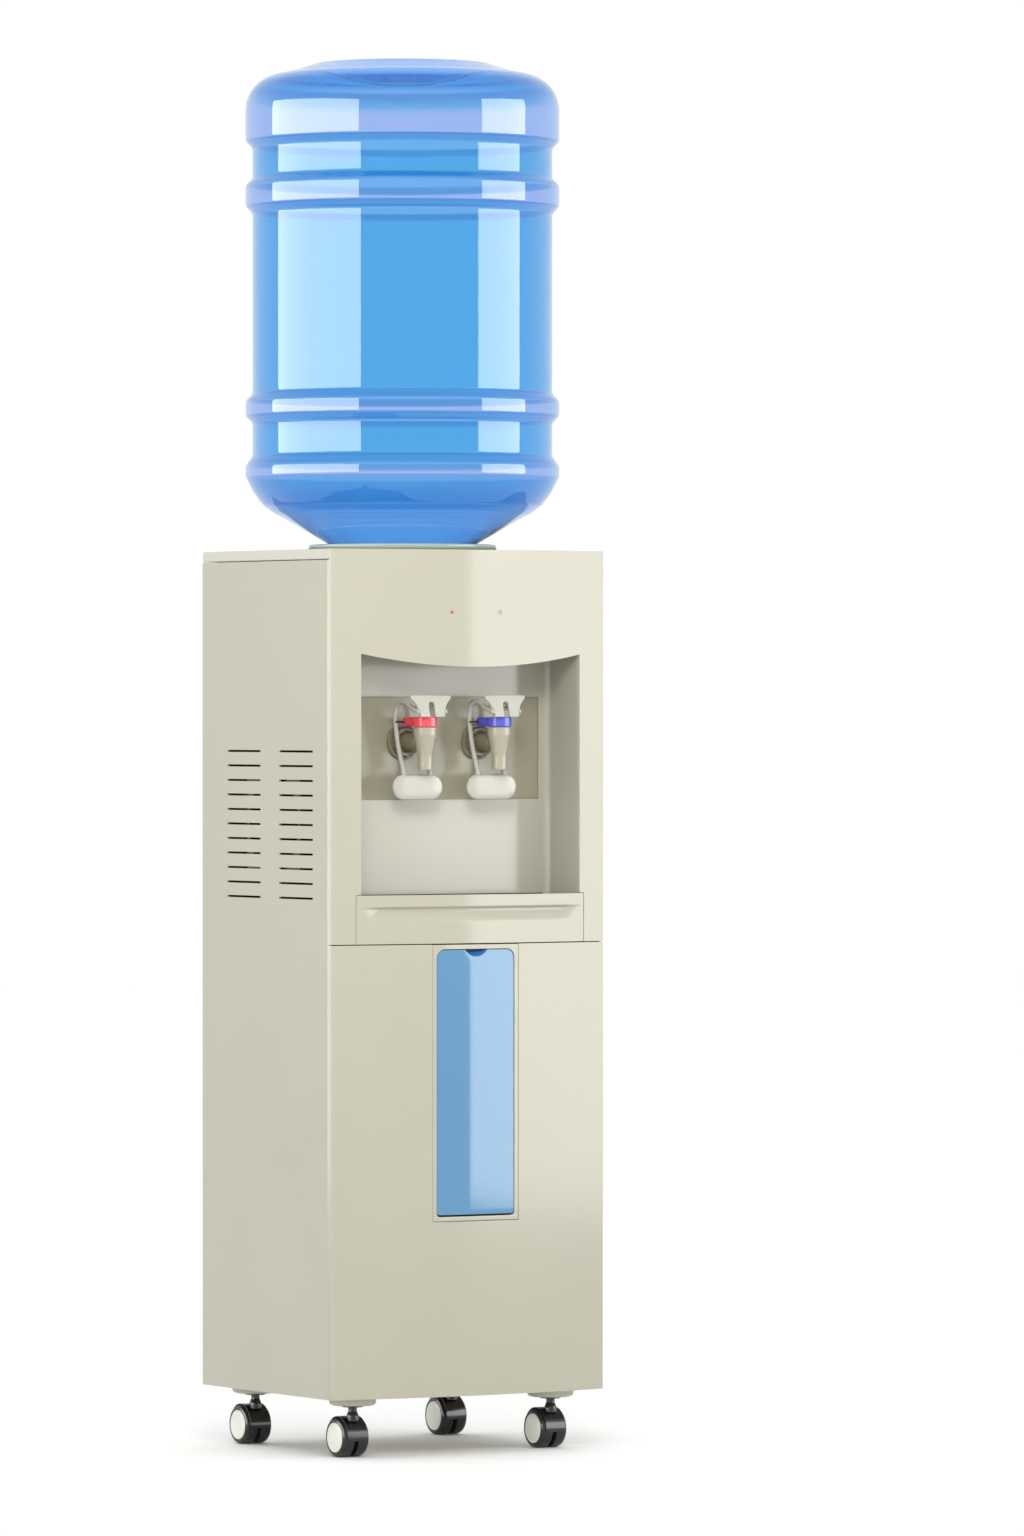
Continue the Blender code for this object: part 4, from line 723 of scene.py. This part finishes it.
def make_glass():
    """The see-through door with a notch in its top, and the two pins that it tilts on."""
    half = OPEN_HALF - 0.5
    low, high = DOOR_LOW.z, DOOR_HIGH.z
    near, far = 0.6, 3.1
    stops = [s * v for s in (-1, 1) for v in (NOTCH_HALF, half - 3, half - 8, half - 0.6)]
    columns = lines(-half, half, 1.6, *stops)

    def level(x, share):
        bottom, top = window_level(x, half, low, high, FOOT_RADIUS - 0.5, HEAD_RADIUS - 0.5)
        if abs(x) < NOTCH_HALF + 0.05:
            top = min(top, NOTCH_Z - math.sqrt(NOTCH_RADIUS**2 - x**2))
        return bottom + (top - bottom) * share

    glass = grid_sheet(
        columns, [0.0, 0.02, 0.98, 1.0],
        lambda x, share: (x, front_y(x, near), level(x, share)),
        lambda x, share: (x, front_y(x, far), level(x, share)),
    )
    pin_y, pin_z = sum(s.y for s in span("cup_door")) / 2 + 1.12, low + 4.5
    radius, root, tip = 1.5, 37.0, 41.1
    pins = []
    for side in (-1, 1):
        pin = [(0, side * root), (radius, side * root), (radius, side * tip), (0, side * tip)]
        pins.append(turned(pin, 24, (0, pin_y, pin_z), "X"))
    make_piece(
        "window_glass", [glass, *pins], "bottle_blue", "door", "cup_door",
        finish=DOOR_BLUE, bevel=0.3, segments=2,
    )


def make_finger_cup():
    """A shallow bowl behind the notch, as a shell cut off along its top, in a darker blue that is painted
    shade for its recess.
    """
    lip_z = NOTCH_Z - 0.8
    rim, depth, wall = 1.0, 5.5, 1.2
    start, sweep, fan = 212, 116, 16
    sinks = [math.radians(15 * step) for step in range(7)]
    bowl = [(NOTCH_RADIUS * math.cos(sink), rim + depth * math.sin(sink)) for sink in sinks]
    points, faces = [], []
    for shell in (0.0, wall):
        for radius, back in bowl:
            size = max(0.0, radius - shell)
            for k in range(fan + 1):
                turn = math.radians(start + sweep * k / fan)
                x, z = size * math.cos(turn), lip_z + size * math.sin(turn)
                points.append((x, front_y(x, 3.2) + back - shell - rim, z))
    wide = fan + 1
    offset = len(bowl) * wide
    for r in range(len(bowl) - 1):
        for k in range(fan):
            face = [r * wide + k, r * wide + k + 1, (r + 1) * wide + k + 1, (r + 1) * wide + k]
            faces.append(face)
            faces.append([i + offset for i in reversed(face)])
    for r in range(len(bowl) - 1):
        for k in (0, fan):
            a, b = r * wide + k, (r + 1) * wide + k
            faces.append([a, b, b + offset, a + offset])
    for k in range(fan):
        faces.append([k, k + 1, k + 1 + offset, k + offset])
    make_piece("window_finger_cup", [closed(points, faces)], "bottle_blue", "door", finish=DOOR_SHADED)


# ---------------------------------------------------------------- taps


def make_tap(word):
    x = TAP_X[word]
    make_valve(word, x)
    make_inlet(word, x)
    make_band(word, x)
    make_lever(word, x)


def make_valve(word, x):
    """The upright body, with its spout below and the bore for the stem on top."""
    shoulder = RING_LOW.z - 0.3
    crown = RING_HIGH.z - 1.3
    profile = [
        (4.6, TAP_Z - 12), (4.6, TAP_Z - 24), (6.2, TAP_Z - 24), (6.5, TAP_Z - 12), (8.4, TAP_Z - 2),
        (10.2, TAP_Z + 6), (10.2, shoulder), (7.7, shoulder), (7.7, crown),
        (2.75, crown), (2.75, TAP_Z + 4), (4.6, TAP_Z - 2),
    ]
    body = turned(rounded([*profile, profile[0]], 1.0), 48, (x, TAP_Y, 0))
    make_piece(f"tap_valve_{word}", [body], "white_plastic", "cabinet", f"tap_body_{word}", finish=TAP_GREY)


def make_inlet(word, x):
    """The tube from the body through the wall, with its flange and a ribbed nut."""
    flange = span("tap_panel")[0].y - 0.3
    bore, tube = 4.0, 7.6
    disc = [(bore, flange), (15.5, flange), (15.5, flange - 3), (12.5, flange - 3), (12, flange - 4.2)]
    disc += [(tube, flange - 4.2), (tube, TAP_Y + 7), (bore, TAP_Y + 7)]
    inlet = turned(rounded([*disc, disc[0]], 0.8), 48, (x, 0, TAP_Z), "Y")
    end = span("tap_body_hot")[1].y
    tail = [(bore, flange - 1), (tube, flange - 1), (tube, end), (bore, end)]
    make_piece(
        f"tap_inlet_{word}", [inlet, turned(tail, 32, (x, 0, TAP_Z), "Y")],
        "white_plastic", "cabinet", finish=INLET_SHADED,
    )
    ribs = []
    rib_count, rib_ring = 16, 12.4
    for k in range(rib_count):
        turn = math.tau * k / rib_count
        centre = (x + rib_ring * math.cos(turn), 0, TAP_Z + rib_ring * math.sin(turn))
        rib = [(0, flange - 8), (0.7, flange - 8), (0.7, flange - 3.2), (0, flange - 3.2)]
        ribs.append(turned(rib, 8, centre, "Y"))
    nut = [(7.9, flange - 8.4), (12.2, flange - 8.4), (12.2, flange - 3.1), (7.9, flange - 3.1)]
    ribs.append(turned(rounded([*nut, nut[0]], 0.6), 48, (x, 0, TAP_Z), "Y"))
    make_piece(f"tap_gland_{word}", ribs, "white_plastic", "cabinet", finish=INLET_SHADED)


def make_band(word, x):
    """The coloured collar, with the lug behind it that the lever's pin runs in."""
    ring = [(8.0, RING_LOW.z), (10.6, RING_LOW.z), (10.6, RING_HIGH.z), (8.0, RING_HIGH.z)]
    slot = "red_plastic" if word == "hot" else "blue_plastic"
    lug_radius, lug_half, root_y = 3.9, 6, TAP_Y + 9.2
    tip = arc((PIVOT_Y, PIVOT_Z), lug_radius, -90, 90, 12)
    lug = [(root_y, PIVOT_Z - lug_radius), *tip, (root_y, PIVOT_Z + lug_radius)]
    collar = turned(rounded([*ring, ring[0]], 0.7), 64, (x, TAP_Y, 0))
    make_piece(
        f"tap_band_{word}", [collar, prism(lug, x - lug_half, x + lug_half, "X")],
        slot, "cabinet", f"tap_collar_{word}",
    )


def lever_pad(x, y, z):
    """An oval pad with rounded faces, upright across the object."""
    width, height, thickness = 50.0, 22.0, 5.0
    levels = [(-1.0, 0.0), (-0.97, 0.55), (-0.82, 0.86), (-0.5, 0.97), (0, 1.0)]
    levels += [(-a, b) for a, b in reversed(levels[:-1])]
    count = 48
    reach = (width - height) / 2
    points = []
    for share, spread in levels:
        shrink = (1 - spread) * height / 2
        radius = max(0.05, height / 2 - shrink)
        right = arc((x + reach, z), radius, -90, 90, count // 2 - 1)
        left = arc((x - reach, z), radius, 90, 270, count // 2 - 1)
        points += [(px, y + share * thickness / 2, pz) for px, pz in right + left]
    faces = joined_rings(count, len(levels))
    faces.append(list(range(count)))
    faces.append([(len(levels) - 1) * count + k for k in range(count)])
    return closed(points, faces)


def thumb_plate(x, y, low):
    """A flared plate, slotted for the stem, that leans back from its foot."""
    slot_half, slot_height = 2.8, 10.6
    half_thickness, lean_angle = 1.5, -14
    right = [(12.0, low), (12.2, low + 3), (13.4, low + 7), (15.2, low + 11), (17.6, low + 14)]
    right += [(19.2, low + 15.5), (20.0, low + 16.4), (20.0, low + 18.4), (19.4, low + 19)]
    crown = arc((0, low + slot_height), slot_half, 0, 180, 8)[1:-1]
    slot = [(slot_half, low), (slot_half, low + slot_height), *crown, (-slot_half, low + slot_height)]
    slot.append((-slot_half, low))
    outline = [*slot[::-1], *right, *[(-a, b) for a, b in reversed(right)]]
    outline = [(x + a, b) for a, b in outline]
    plate = prism(outline, y - half_thickness, y + half_thickness, "Y")
    lean = Matrix.Rotation(math.radians(lean_angle), 4, "X")
    foot = Matrix.Translation(Vector((x, y, low)) * MM)
    bmesh.ops.transform(plate, matrix=foot @ lean @ foot.inverted(), verts=plate.verts)
    return plate


def make_lever(word, x):
    """Wire arms on a pin behind the collar, with an oval pad below and a thumb plate in front."""
    pad_y, pad_z = TAP_Y + 13.5, TAP_Z - 39.0
    arm_half, pin_half = 13.2, 14.2
    bar_z = PIVOT_Z + 11.9
    thumb_y = TAP_Y - 12.6
    shells = [lever_pad(x, pad_y, pad_z)]
    for side in (-1, 1):
        arm_x = x + side * arm_half
        arm = (
            (arm_x, pad_y, pad_z + 3), (arm_x, pad_y + 1.5, pad_z + 15), (arm_x, pad_y + 9, pad_z + 33),
            (arm_x, PIVOT_Y + 2, PIVOT_Z - 6), (arm_x, PIVOT_Y + 2.5, PIVOT_Z + 8),
            (arm_x, PIVOT_Y - 3, PIVOT_Z + 16), (arm_x, TAP_Y + 11, PIVOT_Z + 17),
            (arm_x, TAP_Y, bar_z), (arm_x, thumb_y + 1, bar_z - 3),
        )
        shells.append(swept(arm, 2.1))
    shells.append(swept([(x + s * arm_half, TAP_Y, bar_z) for s in (-1, 0, 1)], 1.85))
    pin = swept([(x + s * pin_half, PIVOT_Y, PIVOT_Z) for s in (-1, 0, 1)], 0.9)
    make_piece(f"tap_pin_{word}", [pin], "dark_steel", f"lever_{word}")
    shells.append(thumb_plate(x, thumb_y, PIVOT_Z + 4.2))
    make_piece(
        f"tap_handle_{word}", shells, "white_plastic", f"lever_{word}", f"tap_lever_{word}",
        bevel=0.6, angle=50,
    )


# ---------------------------------------------------------------- bottle and collar

BOTTLE_WALL = 131.2
BOTTLE_RIB = 137.4


def make_collar():
    """The ring that the bottle's cone sits in."""
    rim, body, seat, bore = 82.0, 68.0, 65.0, 59.0
    bottom = span("bottle_collar")[0].z
    low = TOP_Z + GAP
    profile = [
        (rim, low), (rim, COLLAR_Z), (seat, COLLAR_Z), (bore, COLLAR_Z - 3.46), (bore, bottom),
        (body, bottom), (body, low),
    ]
    make_piece(
        "collar_ring", [turned(rounded([*profile, profile[0]], 1.6), 128)],
        "niche_beige", "cabinet", "bottle_collar", finish=COLLAR_GREY,
    )


def rib(middle, flat, ramp=6.5):
    """The outline of a raised band round the bottle, by the height of its middle and its flat."""
    low, high = COLLAR_Z + middle - flat / 2, COLLAR_Z + middle + flat / 2
    return [(BOTTLE_WALL, low - ramp), (BOTTLE_RIB, low), (BOTTLE_RIB, high), (BOTTLE_WALL, high + ramp)]


def make_bottle():
    """An upside-down bottle: neck, cone, ribbed wall and domed base, as one thin shell."""
    low, high = span("bottle")
    top, mouth = high.z, low.z
    skin = 1.4
    neck, bead, throat_radius, seat_radius = 23.7, 27.0, 38.6, 64.4
    cone_rise = 0.577
    throat = COLLAR_Z - (seat_radius - throat_radius) * cone_rise
    corner = 32.0
    edge = (BOTTLE_RIB - corner, top - 9 - corner)
    outer = [
        (neck, mouth), (neck, mouth + 30), (bead, mouth + 32), (bead, mouth + 46), (neck, mouth + 48),
        (neck, throat - 21), (28.7, throat - 9), (throat_radius, throat),
        (102.0, COLLAR_Z + 22), (112.0, COLLAR_Z + 27), (122.0, COLLAR_Z + 34.5), (130.0, COLLAR_Z + 45),
        *rib(64.0, 9.0, 9.0)[1:], *rib(119.0, 13.0), *rib(304.5, 18.0),
        (BOTTLE_WALL, COLLAR_Z + 346), (BOTTLE_RIB, COLLAR_Z + 352.5),
        *arc(edge, corner, 0, 90, 10),
        (84.0, top - 2.5), (78.0, top - 0.3), (70.0, top), (62.0, top - 3), (48.0, top - 10),
        (28.0, top - 14.5), (0.0, top - 16),
    ]
    outer = rounded(outer, 2.2)
    inner = []
    for i, (r, z) in enumerate(outer):
        a, b = Vector(outer[max(0, i - 1)]), Vector(outer[min(len(outer) - 1, i + 1)])
        ahead = (b - a).normalized()
        inner.append((max(0.0, r - ahead.y * skin), z + ahead.x * skin))
    inner[0] = (outer[0][0] - skin, mouth)
    inner[-1] = (0.0, outer[-1][1] - skin)
    make_piece("bottle_shell", [turned(outer + inner[::-1], 160)], "bottle_blue", "bottle", "bottle")


# ---------------------------------------------------------------- castors

CASTOR_TRAIL = 9.0
AXLE_Z = 17.0


def make_castor(place):
    """A socket under the base, a hooded fork that swivels in it, and a wheel on each side."""
    low, high = span(f"castor_cup_{place}")
    x, y = (low.x + high.x) / 2, (low.y + high.y) / 2
    axle = (y + CASTOR_TRAIL, AXLE_Z)
    make_castor_socket(place, x, y, low.z, high.z)
    make_castor_hood(place, x, y, axle, low.z)
    for letter, side in (("a", -1), ("b", 1)):
        make_castor_wheel(f"{letter}_{place}", side, (x, *axle))


def make_castor_socket(place, x, y, low, high):
    bore, rim = 4.3, 20.5
    cup = [(bore, low), (17.6, low), (20.0, low + 1.4), (rim, low + 3.4), (rim, high), (bore, high)]
    make_piece(
        f"castor_socket_{place}", [turned(rounded([*cup, cup[0]], 1.2), 64, (x, y, 0))],
        "ivory_plastic", "cabinet", f"castor_cup_{place}",
    )


def make_castor_hood(place, x, y, axle, top):
    """An arched hood over both wheels on a thin web, with the axle pin, the stem and its washer."""
    shell, inside, web_radius, tilt = 18.4, 17.6, 18.0, 8
    washer = [(4.1, top - 1.5), (9.0, top - 1.5), (9.0, top - 0.4), (4.1, top - 0.4)]
    hood = [*arc(axle, shell, -tilt, 180 + tilt, 48), *arc(axle, inside, 180 + tilt, -tilt, 48)]
    web = [*arc(axle, web_radius, -tilt, 180 + tilt, 24), (axle[0] - 6, 13.0), (axle[0] + 6, 13.0)]
    stem = [(0, 31.0), (5.6, 31.0), (5.4, 36.0), (3.75, 40.0), (3.75, 61.0), (0, 61.0)]
    pin = [(0, x - 11.4), (2.5, x - 11.4), (2.5, x + 11.4), (0, x + 11.4)]
    make_piece(
        f"castor_hood_{place}",
        [
            prism(hood, x - 10, x + 10, "X"),
            prism(web, x - 1.2, x + 1.2, "X"),
            turned(rounded(stem, 1.0), 32, (x, y, 0)),
            turned(pin, 24, (0, *axle), "X"),
            turned(washer, 48, (x, y, 0)),
        ],
        "black_plastic", f"fork_{place}", f"castor_fork_{place}", bevel=0.3, angle=60,
    )


def make_castor_wheel(word, side, centre):
    """A tyre and its pale hub cap, as outlines of (radius, distance from the fork's middle)."""
    bore, tread, near = 2.75, 16.95, 2.0
    tyre = [
        (bore, near), (tread, near), (tread, 9.8), (16.2, 12.0), (14.2, 12.9), (13.3, 12.9),
        (13.1, 12.3), (bore, 12.3),
    ]
    hub = [
        (0, 11.2), (12.9, 11.2), (12.9, 12.7), (12.4, 13.0), (11.6, 12.75), (11.0, 13.0),
        (6.5, 13.35), (0, 13.4),
    ]
    wheel = f"wheel_{word}"
    spun = [(r, side * h) for r, h in [*tyre, tyre[0]]]
    make_piece(
        f"castor_tyre_{word}", [turned(rounded(spun, 0.7), 64, centre, "X")],
        "black_plastic", wheel, f"castor_wheel_{word}",
    )
    spun = [(r, side * h) for r, h in hub]
    make_piece(
        f"castor_hub_{word}", [turned(rounded(spun, 0.4), 48, centre, "X")],
        "black_plastic", wheel, finish=HUB_GREY,
    )


def make_back_screws():
    """A row of domed screw heads down each side of the back panel."""
    low, high = span("back_panel")
    edge, end, count, radius = 8, 30, 6, 3.4
    face = high.y
    root = face - 0.5
    head = [(0, root), (radius, root), (radius, face + 0.5), (2.4, face + 1.5), (0, face + 1.8)]
    heads = []
    for x in (low.x + edge, high.x - edge):
        for k in range(count):
            z = low.z + end + (high.z - low.z - 2 * end) * k / (count - 1)
            heads.append(turned(rounded(head, 0.5), 24, (x, 0, z), "Y"))
    make_piece("back_screws", heads, "ivory_metal", "cabinet", finish=SCREW_STEEL)


# ---------------------------------------------------------------- carried-over nodes


def smooth_group():
    """A node group that shades every face smooth, for nodes whose mesh stays as it is."""
    group = bpy.data.node_groups.new("smooth_faces", "GeometryNodeTree")
    for way in ("INPUT", "OUTPUT"):
        group.interface.new_socket("Geometry", in_out=way, socket_type="NodeSocketGeometry")
    start = group.nodes.new("NodeGroupInput")
    smooth = group.nodes.new("GeometryNodeSetShadeSmooth")
    end = group.nodes.new("NodeGroupOutput")
    group.links.new(start.outputs[0], smooth.inputs[0])
    group.links.new(smooth.outputs[0], end.inputs[0])
    return group


def finish_carried_nodes():
    """Materials, soft edges and smooth shading for the CAD nodes that stay as they are."""
    group = smooth_group()
    edges = {"top_cover": 1.4, "back_panel": 0.8, "base_pan": 0.8}
    usual_edge = 0.35
    for name, node in sorted(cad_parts.items()):
        if node.hide_render:
            continue
        slot = next(s for prefix, s in SLOT_OF if name.startswith(prefix))
        node.data.materials.clear()
        node.data.materials.append(COVER_SATIN if name == "top_cover" else FINISHES[slot])
        node.modifiers.new("weld", "WELD").merge_threshold = 0.01 * MM
        flat = node.modifiers.new("flat", "DECIMATE")
        flat.decimate_type = "DISSOLVE"
        flat.angle_limit = math.radians(0.3)
        add_bevel(node, edges.get(name, usual_edge), 40, 2)
        node.modifiers.new("smooth", "NODES").node_group = group
        node.modifiers.new("normals", "WEIGHTED_NORMAL").keep_sharp = False


# ---------------------------------------------------------------- studio


def aim(obj, place, target):
    obj.location = place
    obj.rotation_euler = (Vector(target) - Vector(place)).to_track_quat("-Z", "Y").to_euler()


def add_light(name, place, target, size, radiance, glossy_only=False, spread=None):
    """A rectangular lamp of even radiance. It doesn't show to the camera."""
    light = bpy.data.lights.new(name, "AREA")
    light.shape = "RECTANGLE"
    light.size, light.size_y = size
    light.energy = radiance * math.pi * size[0] * size[1]
    lamp = bpy.data.objects.new(name, light)
    bpy.context.scene.collection.objects.link(lamp)
    aim(lamp, place, target)
    lamp.visible_camera = False
    lamp.visible_transmission = False
    lamp.visible_glossy = glossy_only
    lamp.visible_diffuse = not glossy_only
    if spread:
        light.spread = math.radians(spread)
    return lamp


def make_studio():
    make_backdrop()
    make_floor()
    add_light("overhead", (-0.2, -0.5, 2.6), (0, 0, 0.7), (1.2, 1.2), 0.7)
    add_light("key", (-1.3, -2.25, 1.9), (0, 0, 0.76), (0.8, 0.8), 1.35, spread=42)
    make_cards()
    make_camera()


def make_backdrop():
    world = bpy.data.worlds.new("studio")
    world.use_nodes = True
    backdrop = world.node_tree.nodes["Background"]
    backdrop.inputs["Color"].default_value = (1, 1, 1, 1)
    backdrop.inputs["Strength"].default_value = 1.05
    bpy.context.scene.world = world
    bpy.context.scene.view_settings.view_transform = "Standard"


def make_floor():
    shape = bmesh.new()
    bmesh.ops.create_grid(shape, x_segments=8, y_segments=8, size=12.0)
    mesh = bpy.data.meshes.new("floor")
    shape.to_mesh(mesh)
    shape.free()
    floor = bpy.data.objects.new("floor", mesh)
    bpy.context.scene.collection.objects.link(floor)
    mesh.materials.append(surface("floor_white", (0.96, 0.96, 0.96), 0.9, mottle=0.004, grain=0))


def make_cards():
    """Two tall bright cards that only reflections see, each between two bearings from the front."""
    distance, middle_z, height, radiance = 4.0, 1.05, 2.2, 6.0
    for name, low, high in (("card_left", -140, -62), ("card_right", 29, 70)):
        bearing = math.radians((low + high) / 2)
        width = 2 * distance * math.tan(math.radians(high - low) / 2)
        place = (distance * math.sin(bearing), -distance * math.cos(bearing), middle_z)
        add_light(name, place, (0, 0, middle_z), (width, height), radiance, glossy_only=True)


def make_camera():
    """Level with the niche, to the left of the front, and far off through a long lens."""
    heading, dip = 31.12, 0.392
    lens = bpy.data.cameras.new("camera")
    lens.lens = 219.75
    lens.clip_end = 100
    camera = bpy.data.objects.new("camera", lens)
    bpy.context.scene.collection.objects.link(camera)
    camera.location = (-4.154, -7.066, 0.649)
    camera.rotation_euler = (math.radians(90 - dip), 0, -math.radians(heading))
    bpy.context.scene.camera = camera


make_fascia()
make_lower_front()
make_side_panels()
make_liner()
make_tray()
make_shade_strips()
make_lamps()
make_bezel()
make_shade_ring()
make_glass()
make_finger_cup()
for tap in ("hot", "cold"):
    make_tap(tap)
make_collar()
make_bottle()
for castor in ("front_left", "front_right", "back_left", "back_right"):
    make_castor(castor)
make_back_screws()
finish_carried_nodes()
make_studio()
